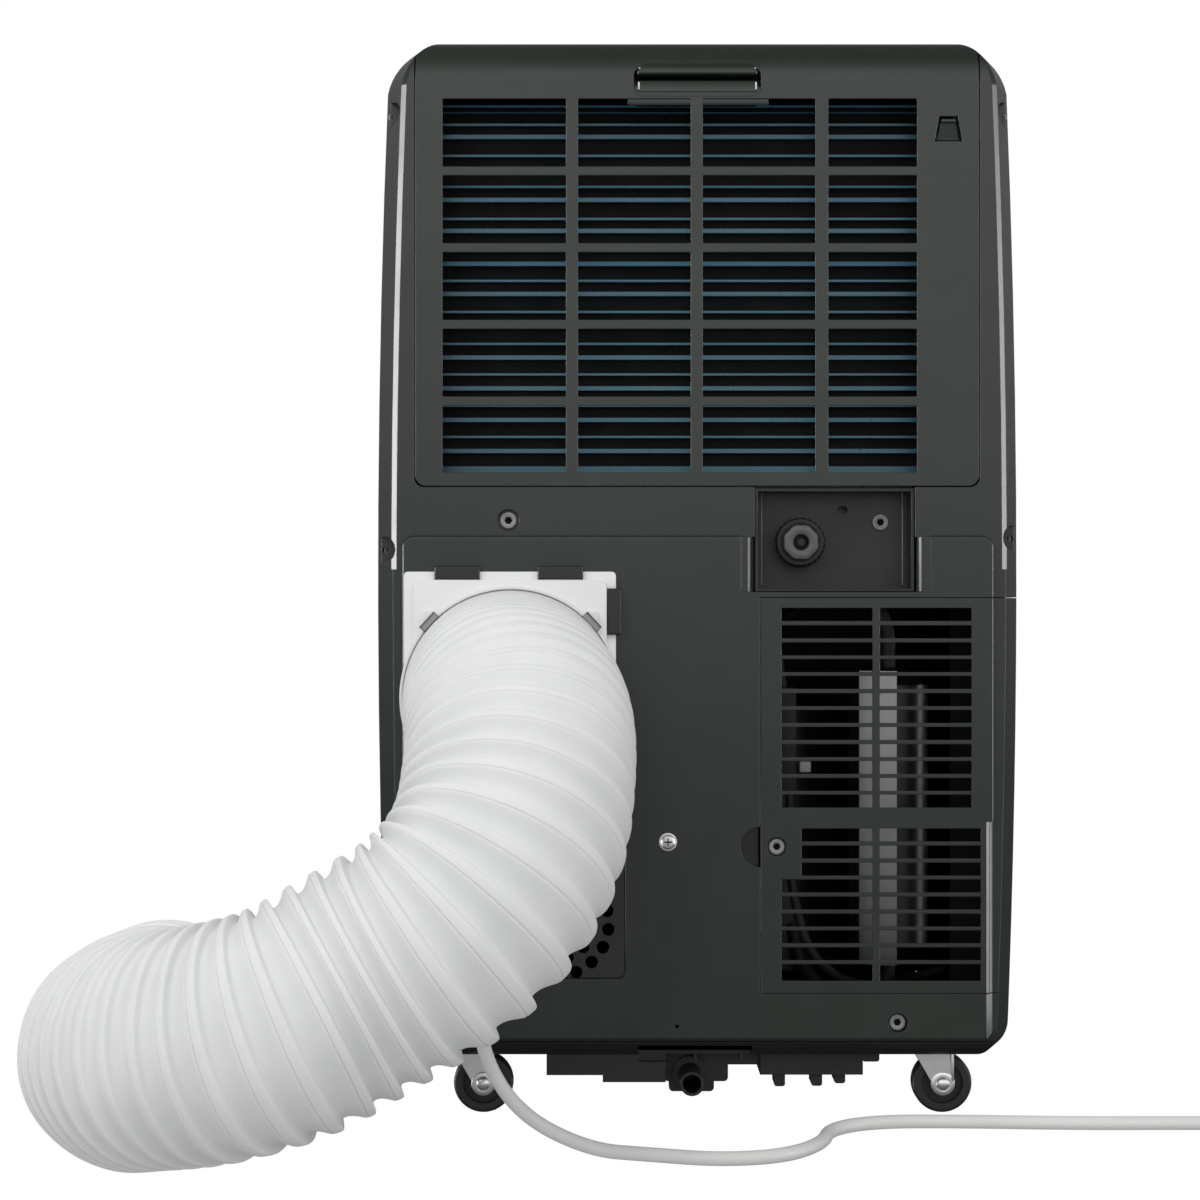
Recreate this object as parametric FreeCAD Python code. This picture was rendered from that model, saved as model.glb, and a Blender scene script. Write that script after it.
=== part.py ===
import FreeCAD, Part
import os, math
from FreeCAD import Vector as V

# Portable air conditioner, a floor-standing cabinet on four swivel casters.
# Millimetres. +Z up. The rear of the cabinet (filter, exhaust port) faces +Y, the front faces -Y.
# Origin: on the floor, under the middle of the cabinet.

# ---- driving dimensions ----
TOP_Z = 752.0          # highest point of the cabinet
BASE_Z = 44.6          # underside of the base pan
PAN_TOP = 56.0         # joint between base pan and shells
W_MID, W_TOP, W_BOT = 225.5, 218.5, 219.5   # half widths of the barrel-shaped sides
FRONT_Y, BACK_Y = -200.0, 165.0             # front face, upper rear face
PAD_Y = 170.0          # raised lower rear panel
WALL = 3.0
SEAM_Y = 40.0          # side seam between the two shells
GAP = 0.5
FLT = (-193.5, 196.5, 441.0)   # filter cover: low x, high x, bottom z
PORT_X, PORT_Z, PORT_R = 130.0, 295.0, 66.0  # exhaust port
DUCT_R, DUCT_WALL = 73.5, 3.5                # 150 mm flexible exhaust duct
CORD_D = 9.4
WHEEL_R, WHEEL_W = 21.0, 16.0
CASTERS = {"rear_left": (162.0, 118.0), "rear_right": (-162.0, 118.0),
           "front_left": (162.0, -148.0), "front_right": (-162.0, -148.0)}
TRAIL = 11.0           # caster trail, wheel axle towards -X

os.makedirs("parts", exist_ok=True)

def box(x0, x1, y0, y1, z0, z1):
    return Part.makeBox(x1 - x0, y1 - y0, z1 - z0, V(x0, y0, z0))

def cyl(p, d, r, h):
    return Part.makeCylinder(r, h, V(*p), V(*d))

def cone(p, d, r1, r2, h):
    return Part.makeCone(r1, r2, h, V(*p), V(*d))

def tube(p, d, ro, ri, h):
    return cyl(p, d, ro, h).cut(cyl(p, d, ri, h))

def fuse(*s):
    out = s[0]
    if len(s) > 1:
        out = s[0].multiFuse(list(s[1:]))
    return out.removeSplitter()

def cut(a, *s):
    return a.cut(Part.makeCompound(list(s))) if len(s) > 1 else a.cut(s[0])

def rrect(axis, a0, a1, b0, b1, r, c0, c1):
    """Rounded rectangle prism; axis 'y': a=x b=z c=y; 'z': a=x b=y c=z; 'x': a=y b=z c=x."""
    def P(a, b):
        return {"y": V(a, c0, b), "z": V(a, b, c0), "x": V(c0, a, b)}[axis]
    k = r * (1 - math.sqrt(0.5))
    e = [Part.LineSegment(P(a0 + r, b0), P(a1 - r, b0)).toShape(),
         Part.Arc(P(a1 - r, b0), P(a1 - k, b0 + k), P(a1, b0 + r)).toShape(),
         Part.LineSegment(P(a1, b0 + r), P(a1, b1 - r)).toShape(),
         Part.Arc(P(a1, b1 - r), P(a1 - k, b1 - k), P(a1 - r, b1)).toShape(),
         Part.LineSegment(P(a1 - r, b1), P(a0 + r, b1)).toShape(),
         Part.Arc(P(a0 + r, b1), P(a0 + k, b1 - k), P(a0, b1 - r)).toShape(),
         Part.LineSegment(P(a0, b1 - r), P(a0, b0 + r)).toShape(),
         Part.Arc(P(a0, b0 + r), P(a0 + k, b0 + k), P(a0 + r, b0)).toShape()]
    d = {"y": V(0, c1 - c0, 0), "z": V(0, 0, c1 - c0), "x": V(c1 - c0, 0, 0)}[axis]
    return Part.Face(Part.Wire(e)).extrude(d)

def soften(s, r, pick):
    """Fillet the edges that pick() chooses; keeps the shape as it is if the kernel can't."""
    try:
        es = [e for e in s.Edges if pick(e)]
        f = s.makeFillet(r, es) if es else s
        return f if f.isValid() and f.Volume > 0.5 * s.Volume else s
    except Exception:
        return s

def route(points):
    """Straight runs joined by tangent arcs; returns the wire and the arc radii."""
    P = [V(*p) for p in points]
    n = len(P)
    edges, radii, prev, ops = [], [], P[0], []
    for i in range(1, n - 1):
        a, b = P[i] - P[i - 1], P[i + 1] - P[i]
        la, lb = a.Length, b.Length
        u, w = a * (1 / la), b * (1 / lb)
        turn = math.acos(max(-1, min(1, u.dot(w))))
        t = 0.45 * min(la, lb)
        rad = t / math.tan(turn / 2)
        radii.append(rad)
        s, e = P[i] - u * t, P[i] + w * t
        bis = (w - u)
        bis.normalize()
        cen = P[i] + bis * (rad / math.cos(turn / 2))
        mid = cen - bis * rad
        edges.append(Part.LineSegment(prev, s).toShape())
        edges.append(Part.Arc(s, mid, e).toShape())
        ax = u.cross(w)
        ax.normalize()
        ops += [("run", s - prev, None, 0), ("bend", cen, ax, math.degrees(turn))]
        prev = e
    edges.append(Part.LineSegment(prev, P[-1]).toShape())
    ops.append(("run", P[-1] - prev, None, 0))
    return Part.Wire(edges), radii, ops

def sweep(points, r, ri=None, say=None):
    """Round bar or tube along a route, built run by run and bend by bend."""
    w, radii, ops = route(points)
    start = V(*points[0])
    d = V(*points[1]) - start
    rings = [Part.makeCircle(r, start, d)] + ([Part.makeCircle(ri, start, d)] if ri else [])
    face = Part.makeFace([Part.Wire(c) for c in rings], "Part::FaceMakerBullseye") if ri else Part.Face(Part.Wire(rings[0]))
    segs = []
    for kind, a, ax, deg in ops:
        if kind == "run":
            segs.append(face.extrude(a))
            face = face.copy()
            face.translate(a)
        else:
            segs.append(face.revolve(a, ax, deg))
            face = face.copy()
            face.rotate(a, ax, deg)
    s = segs[0].multiFuse(segs[1:]).removeSplitter() if len(segs) > 1 else segs[0]
    if say:
        area = math.pi * (r * r - (ri or 0) ** 2)
        print(say, "length %.1f" % w.Length, "min radius %.1f" % min(radii), "radii", [round(x) for x in radii],
              "volume ratio %.4f" % (s.Volume / (area * w.Length)))
    return s

NODES = {}
def out(name, s):
    sols = s.Solids
    if not sols:
        raise RuntimeError("no solid in " + name)
    s = sols[0] if len(sols) == 1 else Part.makeCompound(sols)
    if not s.isValid():
        print("INVALID", name)
    s.exportStep("parts/%s.step" % name)
    NODES[name] = s
    b = s.BoundBox
    print("%-20s n=%d vol=%.0f  x %.1f..%.1f y %.1f..%.1f z %.1f..%.1f" % (name, len(sols), s.Volume, b.XMin, b.XMax, b.YMin, b.YMax, b.ZMin, b.ZMax))

# ---- cabinet envelope ----
def envelope(t=0.0):
    """Outer form of the cabinet, offset inward by t."""
    zb, zt = BASE_Z + t, TOP_Z - t
    wb, wm, wt = W_BOT - t, W_MID - t, W_TOP - t
    rb = 21.0 - min(t, 12.0)
    k = rb * (1 - math.sqrt(0.5))
    def P(x, z):
        return V(x, FRONT_Y + t, z)
    z1, z2 = zb + rb, 719.0
    e = [Part.LineSegment(P(-wb + rb, zb), P(wb - rb, zb)),
         Part.Arc(P(wb - rb, zb), P(wb - k, zb + k), P(wb, z1)),
         Part.Arc(P(wb, z1), P(wm, 385), P(wt, z2)),
         Part.Arc(P(wt, z2), P(206.5 - t, 741.0 - t), P(172 - t * 0.3, zt)),
         Part.LineSegment(P(172 - t * 0.3, zt), P(-172 + t * 0.3, zt)),
         Part.Arc(P(-172 + t * 0.3, zt), P(-206.5 + t, 741.0 - t), P(-wt, z2)),
         Part.Arc(P(-wt, z2), P(-wm, 385), P(-wb, z1)),
         Part.Arc(P(-wb, z1), P(-wb + k, zb + k), P(-wb + rb, zb))]
    s = Part.Face(Part.Wire([q.toShape() for q in e])).extrude(V(0, BACK_Y - FRONT_Y - 2 * t, 0))
    # rounded front edge all the way round
    fr = 20.0 - t if t == 0 else 17.0 - t * 0.3
    fe = [x for x in s.Edges if abs(x.BoundBox.YMin - (FRONT_Y + t)) < 0.01 and abs(x.BoundBox.YMax - (FRONT_Y + t)) < 0.01]
    for r in (fr, 16.0, 14.0, 12.0):
        try:
            s2 = s.makeFillet(r, fe)
            if s2.isValid() and s2.Volume > 0.9 * s.Volume:
                s = s2
                print("front radius", r)
                break
        except Exception:
            pass
    else:
        print("front edge left sharp")
    # rear corner bevels, 13.4 mm wide and 40 mm deep, following the barrel sides
    ya = 125.0
    cutters = []
    for sx in (1, -1):
        pr = [q.toShape() for q in e]
        f = Part.Face(Part.Wire(pr))
        f.translate(V(0, ya - (FRONT_Y + t), 0))
        cutters.append(f.extrude(V(-sx * 13.4 * (80.0 / 40.0), 80.0, 0)))
    rear = cutters[0].common(cutters[1])
    front = box(-300, 300, -300, ya, 0, 800)
    s = s.common(fuse(front, rear))
    # 45 degree crest where each bevel meets the rear face, above the raised panel
    yc = 149.0 - 0.414 * t
    crest = []
    for sx in (1, -1):
        f = Part.Face(Part.Wire([q.toShape() for q in e]))
        f.translate(V(0, yc - (FRONT_Y + t), 0))
        crest.append(f.extrude(V(-sx * 60.0, 60.0, 0)))
    keep = fuse(crest[0].common(crest[1]), box(-300, 300, -300, yc, 0, 800), box(-300, 300, yc - 1, 300, 0, 383.0 + t))
    s = s.common(keep)
    # rounded front corners and the long horizontal edges
    def Q(y, z):
        return V(-300, y, z)
    yf, yr = FRONT_Y + t, BACK_Y - t
    def fil(y, z, sy, sz, r, steps=None):
        kk = r * (1 - math.sqrt(0.5))
        return (Q(y - sy * r, z), Q(y - sy * kk, z - sz * kk), Q(y, z - sz * r))
    rr, rbb = 30 - min(t, 10), 20 - min(t, 10)
    a = fil(yr, zt, 1, 1, rr)
    d = fil(yr, zb, 1, -1, rbb)
    w = [Part.Arc(*a), Part.LineSegment(a[2], d[2]), Part.Arc(d[2], d[1], d[0]), Part.LineSegment(d[0], Q(-500, zb)),
         Part.LineSegment(Q(-500, zb), Q(-500, zt)), Part.LineSegment(Q(-500, zt), a[0])]
    side = Part.Face(Part.Wire([q.toShape() for q in w])).extrude(V(600, 0, 0))
    s = s.common(side)
    return s

ENV = envelope()
PAD = rrect("y", -203.2, 205.3, 58.0, 406.5, 8.0, BACK_Y - 8, PAD_Y)
PAD = soften(PAD, 2.0, lambda e: abs(e.BoundBox.YMin - PAD_Y) < 1e-3 and abs(e.BoundBox.YMax - PAD_Y) < 1e-3)
# wider bevel on the lower part of the panel's grille side
PAD = PAD.cut(Part.Face(Part.makePolygon([V(-196.9, PAD_Y + 1.0, -10), V(-212, PAD_Y + 1.0, -10), V(-212, PAD_Y - 14.1, -10), V(-196.9, PAD_Y + 1.0, -10)])).extrude(V(0, 0, 219.0)))
OUTER = ENV.fuse(PAD)
INNER = envelope(WALL).fuse(rrect("y", -200.2, 202.3, 61.0, 403.5, 5.0, BACK_Y - 12, PAD_Y - WALL))

# ---- shared openings ----
FX0, FX1, FZ0 = FLT
COVER_Y = 138.0   # where the filter cover ends on the top face
TOPC = (-186.0, 186.0, -172.0, 128.0)     # top cover outline
OUTLET = (-150.0, 150.0, 643.2, 722.0)    # front air outlet
COND = (-42.3, 90.4, 363.4, 30.0)         # condenser cover: seam x, bottom z, top z, front y
REC = (-149.3, -38.3, 367.5, 440.0)       # drain recess
VENT = (51.2, 190.0, 100.5, 200.0)        # perforated panel

def cover_zone(g):
    return rrect("y", FX0 - g, FX1 + g, FZ0 - g, 800, 7.0, COVER_Y - g, 200)

def cond_zone(g):
    return box(-300, COND[0] + g, COND[3] - g, 300, COND[1] - g, COND[2] + g)

# ---- base pan ----
pan = ENV.common(box(-300, 300, -300, 300, 0, PAN_TOP))
pan = pan.cut(envelope(WALL))
adds, holes = [], []
for cx, cy in CASTERS.values():
    adds.append(cyl((cx, cy, 46), (0, 0, 1), 29.5, 12.5))
    adds.append(cyl((cx, cy, 58), (0, 0, 1), 9.0, 20.0))
    holes.append(cyl((cx, cy, 40), (0, 0, 1), 26.5, 15.0))
    holes.append(cyl((cx, cy, 50), (0, 0, 1), 5.05, 24.0))
# hanging drain structure under the pan and its ribs
adds += [box(66.6, 106, 96, 150, 30.6, 47), box(22.8, 66.8, 96, 150, 25.7, 47), box(-44.0, 23.0, 92, 126, 34.0, 47),
         rrect("y", -21.7, 23.5, 22.2, 47, 3, 112, 126), rrect("y", -11.8, 20.0, 15.1, 40, 3, 114, 126),
         box(-116.4, -44.0, 84, 132, 27.8, 47), rrect("y", -128.0, -116.0, 37.0, 47, 2, 96, 132)]
for x0, x1, z in ((-62.0, -54.2, 18.6), (-88.2, -80.4, 18.9), (-104.5, -96.7, 20.7)):
    adds.append(rrect("y", x0, x1, z, 30, 2, 104, 126))
for x in (-30.0, 2.0, 34.0):
    adds.append(box(x - 1.2, x + 1.2, 126, 150, 40, 47))
pan = fuse(pan, *adds)
pan = cut(pan, *holes)
pan = pan.cut(box(-37, 42, 146, 180, 40, 53))           # rear notch above the drain spout
pan = pan.cut(cyl((5.1, 110, 27.5), (0, 1, 0), 10.05, 20))
out("base_pan", pan)

# ---- drain spout ----
spout = fuse(cyl((5.1, 111, 27.5), (0, 1, 0), 10.0, 15), cyl((5.1, 126, 27.5), (0, 1, 0), 13.0, 3.0), cyl((5.1, 129, 27.5), (0, 1, 0), 8.3, 39.0))
spout = spout.cut(cyl((5.1, 113, 27.5), (0, 1, 0), 6.4, 60))
out("drain_spout", spout)

# ---- rear shell ----
upper = box(-300, 300, SEAM_Y + GAP / 2, 300, PAN_TOP + GAP, 900)
rear = OUTER.common(upper).cut(INNER)
pocket_at = [(216.5, 702.0), (-216.5, 702.0), (219.5, 397.0), (-219.5, 405.0)]
cups = [cyl((x, 126, z), (0, 1, 0), 12.0, 60).common(OUTER) for x, z in pocket_at]
bosses = [cyl((132.2, 150, 417.2), (0, 1, 0), 9.5, 14), cyl((-136.9, 152, 70.0), (0, 1, 0), 8.5, 15), cyl((21.8, 158, 195.0), (0, 1, 0), 7, 10)]
thumb = cyl((-42.3, 154, 191.6), (0, 1, 0), 16.0, 14).common(box(-42.0 + 0.6, 0, 100, 300, 0, 400))
# inner ledge that carries the filter cover, and the panel closing the filter chamber off from the machinery
ledge = box(FX0 - 10, FX1 + 10, 124, 163, FZ0 - 6, FZ0 - 2.2)
rear = fuse(rear, *cups, *bosses, thumb, ledge)
rear = cut(rear, cover_zone(0.8), cond_zone(0.4), rrect("z", TOPC[0] - 0.4, TOPC[1] + 0.4, TOPC[2] - 0.4, TOPC[3] + 0.4, 26, 700, 800))
rear = rear.cut(box(REC[0], REC[1], 140, 200, REC[2], 500))
rear = rear.cut(box(REC[0], REC[1], 120, 141, FZ0 - 7, FZ0))
rear = rear.cut(rrect("y", -160.0, -28.6, REC[2], 430, 3, BACK_Y - 6, 200))
flare = [cyl((-160.6, 158.4, REC[2]), (0, 0, 1), 11.4, 38.2).common(box(-161, REC[0], 150, 175, 300, 500)), box(-161, REC[0], 154, 158.6, REC[2], REC[2] + 38.2),
         cyl((-27.0, 158.4, REC[2]), (0, 0, 1), 11.4, 38.2).common(box(REC[1], -26.6, 150, 175, 300, 500)), box(REC[1], -26.6, 154, 158.6, REC[2], REC[2] + 38.2)]
rear = fuse(rear, *flare)
rear = fuse(rear, box(-161, REC[0], 159, BACK_Y, REC[2] + 38.2, 430), box(REC[1], -26.6, 159, BACK_Y, REC[2] + 38.2, 430))
rear = rear.cut(rrect("y", PORT_X - 70, PORT_X + 70, PORT_Z - 80, PORT_Z + 80, 12, 150, 200))
rear = rear.cut(rrect("y", VENT[0], VENT[1], VENT[2], VENT[3], 5, 150, 200))
hl = [cyl((x, 134, z), (0, 1, 0), 9.0, 60) for x, z in pocket_at]
hl += [cyl((x, 120, z), (0, 1, 0), 2.05, 30) for x, z in pocket_at]
hl += [cyl((132.2, 160, 417.2), (0, 1, 0), 7.5, 10), cyl((132.2, 140, 417.2), (0, 1, 0), 2.05, 30),
       cyl((-136.9, 164, 70.0), (0, 1, 0), 6.6, 10), cyl((-136.9, 140, 70.0), (0, 1, 0), 2.05, 30),
       cyl((21.8, 150, 195.0), (0, 1, 0), 2.05, 30), cyl((15.6, 160, 67.6), (0, 1, 0), 1.2, 20),
       cyl((-42.3, 157, 191.6), (0, 1, 0), 14.0, 20)]
hl.append(cyl((147.0, 150, 102.5), (0, 1, 0), 10.05, 40))
rear = cut(rear, *hl)
rear = fuse(rear, rrect("z", TOPC[0] - 5, TOPC[1] + 5, TOPC[2] - 5, TOPC[3] + 5, 28, 743.4, 749.5).cut(rrect("z", TOPC[0] - 0.4, TOPC[1] + 0.4, TOPC[2] - 0.4, TOPC[3] + 0.4, 26, 746.4, 760)).cut(rrect("z", TOPC[0] + 9, TOPC[1] - 9, TOPC[2] + 9, TOPC[3] - 9, 18, 740, 750)).common(box(-300, 300, SEAM_Y + GAP / 2, 300, 0, 900)).common(ENV))
out("rear_shell", rear)

# ---- front shell ----
front = ENV.common(box(-300, 300, -300, SEAM_Y - GAP / 2, PAN_TOP + GAP, 900)).cut(INNER)
front = front.cut(rrect("z", TOPC[0] - 0.4, TOPC[1] + 0.4, TOPC[2] - 0.4, TOPC[3] + 0.4, 26, 700, 800))
front = front.cut(cond_zone(0.4))
front = front.cut(rrect("y", OUTLET[0], OUTLET[1], OUTLET[2], OUTLET[3], 8, -260, -150))
ears = [box(sx * 150 - (0 if sx > 0 else 5), sx * 150 + (5 if sx > 0 else 0), -197.5, -184, 646, 664) for sx in (1, -1)]
front = fuse(front, *ears)
front = cut(front, cyl((-160, -191.5, 655), (1, 0, 0), 2.55, 320).cut(box(-140, 140, -200, -180, 640, 670)),
            rrect("y", -120, 120, 596, 600, 1.9, -210, -199.0))
front = fuse(front, rrect("z", TOPC[0] - 5, TOPC[1] + 5, TOPC[2] - 5, TOPC[3] + 5, 28, 743.4, 749.5).cut(rrect("z", TOPC[0] - 0.4, TOPC[1] + 0.4, TOPC[2] - 0.4, TOPC[3] + 0.4, 26, 746.4, 760)).cut(rrect("z", TOPC[0] + 9, TOPC[1] - 9, TOPC[2] + 9, TOPC[3] - 9, 18, 740, 750)).common(box(-300, 300, -300, SEAM_Y - GAP / 2, 0, 900)).common(ENV))
out("front_shell", front)

# ---- top cover ----
top = rrect("z", TOPC[0], TOPC[1], TOPC[2], TOPC[3], 26, 746.5, 751.2)
top = soften(top, 1.5, lambda e: abs(e.BoundBox.ZMin - 751.2) < 1e-3 and abs(e.BoundBox.ZMax - 751.2) < 1e-3)
top = top.cut(rrect("z", -116, 116, -158, -84, 10, 740, 760))
out("top_cover", top)

# ---- control panel, window, buttons ----
panel = rrect("z", -115.5, 115.5, -157.5, -84.5, 9.5, 745.5, 750.0)
panel = fuse(panel, rrect("z", -121, 121, -163, -79, 12, 743.0, 746.2).cut(rrect("z", -110, 110, -152, -90, 8, 742, 745.5)))
BUT = {"power_button": (-96.0, -121.0), "mode_button": (-68.0, -121.0), "fan_button": (68.0, -121.0), "timer_button": (96.0, -121.0)}
panel = cut(panel, *[cyl((x, y, 740), (0, 0, 1), 9.5, 20) for x, y in BUT.values()],
            rrect("z", -20.5, 20.5, -148.5, -129.5, 7, 740, 760), rrect("z", -45, 45, -122, -92, 3, 749.2, 760))
panel = fuse(panel, box(-4, 4, -154.5, -149.3, 741.6, 746), box(-4, 4, -128.7, -123.5, 741.6, 746)).cut(cyl((0, -160, 743.6), (0, 1, 0), 1.55, 40))
out("control_panel", panel)
out("display_window", rrect("z", -44.9, 44.9, -121.9, -92.1, 2.9, 749.2, 750.1))
for n, (x, y) in BUT.items():
    b = fuse(cyl((x, y, 744), (0, 0, 1), 9.1, 7.4), cyl((x, y, 741.2), (0, 0, 1), 11.0, 3.0))
    b = soften(b, 0.8, lambda e: abs(e.BoundBox.ZMin - 751.4) < 1e-3)
    b = b.cut(Part.makeSphere(24, V(x, y, 751.4 + 23.4)))
    out(n, b)
rock = rrect("z", -19.6, 19.6, -148.1, -129.9, 6.6, 742.0, 751.4)
rock = soften(rock, 0.8, lambda e: abs(e.BoundBox.ZMin - 751.4) < 1e-3)
rock = fuse(rock, cyl((0, -152.5, 743.6), (0, 1, 0), 1.5, 27.0))
out("temp_rocker", rock)

# ---- filter cover with its frame and mesh ----
cov = OUTER.cut(envelope(2.6)).common(cover_zone(0.0))
rims = [box(FX0 + 1.0, FX0 + 3.4, 127, 162.6, FZ0 + 3, 716), box(FX1 - 3.4, FX1 - 1.0, 127, 162.6, FZ0 + 3, 716),
        box(FX0 + 1.0, FX1 - 1.0, 127, 162.6, FZ0 + 2.5, FZ0 + 4.9)]
rims = [r.common(envelope(1.0)) for r in rims]
COLS = [(92.2, 177.7), (5.9, 83.9), (-80.3, -2.4), (-150.7, -89.3)]
ROWS = [(662.0, 709.0), (609.0, 656.0), (555.9, 602.8), (502.8, 549.7), (450.3, 496.6)]
# the handle pocket scooped into the top rear edge and its inner grip tray
hp = rrect("y", -42.7, 45.3, 710.5, 731.0, 6.0, 120, 200)
tray = rrect("y", -45.0, 47.6, 708.4, 733.2, 7.0, 136, 163).cut(rrect("y", -42.7, 45.3, 710.5, 731.0, 6.0, 139, 170)).common(envelope(1.0))
cov = fuse(cov, *rims)
cells = [rrect("y", x0, x1, z0, z1, 1.2, 150, 200) for x0, x1 in COLS for z0, z1 in ROWS]
cov = cut(cov, hp, *cells)
lower_grip = rrect("y", -42.7, 45.3, 710.5, 718.8, 4.0, 157.5, 163.2).common(envelope(1.2))
upper_grip = rrect("y", -42.7, 45.3, 723.2, 731.0, 4.0, 148, 170).common(envelope(1.6))
cov = fuse(cov, tray, lower_grip, upper_grip)
LX = -172.5     # latch centre
def trapezoid(wt, wb, z0, z1, y0, y1):
    f = Part.Face(Part.makePolygon([V(LX - wb, y0, z0), V(LX + wb, y0, z0), V(LX + wt, y0, z1), V(LX - wt, y0, z1), V(LX - wb, y0, z0)]))
    return f.extrude(V(0, y1 - y0, 0))
LZ0, LZ1 = 679.5, 696.8
cov = cov.cut(trapezoid(6.4, 9.6, LZ0, LZ1, 150, 200))
out("filter_cover", cov)
lt = trapezoid(4.9, 7.9, LZ0 + 0.5, LZ1 - 1.9, 159.5, 164.6)
slope = Part.Face(Part.makePolygon([V(LX - 20, 166, LZ0 - 2), V(LX - 20, 160.8, LZ0 - 2), V(LX - 20, 162.6, LZ1 - 4.2), V(LX - 20, 166, LZ1 - 3.6), V(LX - 20, 166, LZ0 - 2)])).extrude(V(40, 0, 0))
lt = lt.cut(slope)
lt = fuse(lt, cyl((LX - 7.6, 160.8, LZ0 + 1.6), (1, 0, 0), 1.0, 15.2))
out("filter_latch", lt)

FR = (FX0 + 4.4, FX1 - 4.4, FZ0 + 6.0, 714.0)
fr = rrect("y", FR[0], FR[1], FR[2], FR[3], 4, 127.0, 133.0).cut(rrect("y", FR[0] + 9, FR[1] - 9, FR[2] + 9, FR[3] - 9, 3, 120, 140))
bars = []
for i, z in enumerate([709.2, 696.6, 688.1, 674.7, 665.6, 652.9, 643.7, 630.3, 621.9, 608.5, 598.7, 586.7, 577.5, 564.8, 555.0, 542.3, 532.7, 520.8, 511.0, 498.8, 488.8, 476.8, 466.9, 455.0]):
    h = 1.5 if i % 2 == 0 else 0.8
    bars.append(box(FR[0] + 8, FR[1] - 8, 128.2, 132.0, z - h, z + h))
for x in (88.0, 1.7, -84.8):
    bars.append(box(x - 1.6, x + 1.6, 127.6, 131.0, FR[2] + 8, FR[3] - 8))
out("filter_frame", fuse(fr, *bars))
out("filter_mesh", rrect("y", FR[0] + 2, FR[1] - 2, FR[2] + 2, FR[3] - 2, 3, 126.2, 127.0))

# ---- condenser cover ----
cc = OUTER.cut(envelope(2.8).fuse(rrect("y", -200.4, 202.3, 61.0, 403.5, 5.0, BACK_Y - 12, PAD_Y - 2.8)))
cc = cc.common(cond_zone(0.0))
cc = fuse(cc, cyl((-53.4, 160, 191.6), (0, 1, 0), 8.5, 9.5))
SLOTS = []
for t in [356.5, 344.5, 332.7, 321.2, 309.6, 297.7, 286.1, 274.4, 262.5, 250.9, 239.2, 227.7]:
    for a, b in ((-119.4, -56.6), (-187.7, -124.5)):
        SLOTS.append((a, b, t - 9.0, t))
for i, t in enumerate([204.3, 192.5, 180.7, 169.1, 157.3, 145.5, 134.0, 122.3, 110.7]):
    h = 11.7 if i == 8 else 9.0
    SLOTS.append((-119.4, -70.4 if i < 3 else -56.6, t - h, t))
    SLOTS.append((-194.2, -124.5, t - h, t))
sl = [rrect("y", a, b, c, d, 0.8, 150, 200) for a, b, c, d in SLOTS]
for i in range(24):
    z = 101.0 + i * 10.8
    sl.append(box(-240, -210, 38, 78, z, z + 7.2))
    sl.append(box(-240, -210, 83, 121, z, z + 7.2))
sl += [cyl((-53.4, 165.6, 191.6), (0, 1, 0), 6.6, 20), cyl((-53.4, 150, 191.6), (0, 1, 0), 2.3, 30)]
cc = cc.cut(Part.makeCompound(sl))
out("condenser_cover", cc)

# ---- drain recess, seal and cap ----
rp = box(REC[0] + 0.4, REC[1] - 0.4, 134, 163, REC[2] + 0.4, REC[3] - 0.6).cut(box(REC[0] + 2.4, REC[1] - 2.4, 137, 170, REC[2] + 2.4, 437.2))
rp = fuse(rp, cyl((-70.7, 137, 402), (0, 1, 0), 13.5, 9.0), cyl((-70.7, 118, 402), (0, 1, 0), 13.5, 17.0))
rp = cut(rp, cyl((-70.7, 110, 402), (0, 1, 0), 10.2, 60), cyl((-128, 120, 416.5), (0, 1, 0), 2.05, 30), rrect("y", -105.0, -98.4, 423.2, 427.8, 2.2, 120, 160))
out("drain_recess_panel", rp)
out("drain_seal", tube((-70.7, 146.35, 402), (0, 1, 0), 16.0, 11.0, 2.0))
cap = fuse(cyl((-70.7, 148.7, 402), (0, 1, 0), 17.3, 8.0), cyl((-70.7, 139.0, 402), (0, 1, 0), 9.7, 10.0),
           Part.Face(Part.makePolygon([V(-70.7 + 12.6 * math.cos(math.radians(60 * k + 8)), 156, 402 + 12.6 * math.sin(math.radians(60 * k + 8))) for k in range(7)])).extrude(V(0, 9.0, 0)))
cap = cut(cap, cyl((-70.7, 158, 402), (0, 1, 0), 5.4, 10), *[cyl((-70.7 + 19.0 * math.cos(math.radians(30 * k)), 147, 402 + 19.0 * math.sin(math.radians(30 * k))), (0, 1, 0), 2.6, 9.0) for k in range(12)])
out("drain_cap", cap)

# ---- perforated panel ----
vp = rrect("y", VENT[0] + 0.5, VENT[1] - 0.5, VENT[2] + 0.5, VENT[3] - 0.5, 4.6, 166.0, 169.2)
vp = fuse(vp, rrect("y", VENT[0] - 4, VENT[1] + 4, VENT[2] - 4, VENT[3] + 4, 6, 163.4, 166.6).cut(rrect("y", VENT[0] + 6, VENT[1] - 6, VENT[2] + 6, VENT[3] - 6, 4, 160, 166)))
hs = []
for rad, n in ((37.0, 18), (25.5, 12), (14.0, 7), (0.0, 1)):
    for k in range(n):
        a = 2 * math.pi * (k + 0.35) / n
        hs.append(cyl((99.7 + rad * math.cos(a), 150, 139.0 + rad * math.sin(a)), (0, 1, 0), 4.4, 30))
vp = vp.cut(Part.makeCompound(hs))
vp = vp.cut(cyl((147.0, 150, 102.5), (0, 1, 0), 10.3, 30))
out("vent_panel", vp)

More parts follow.
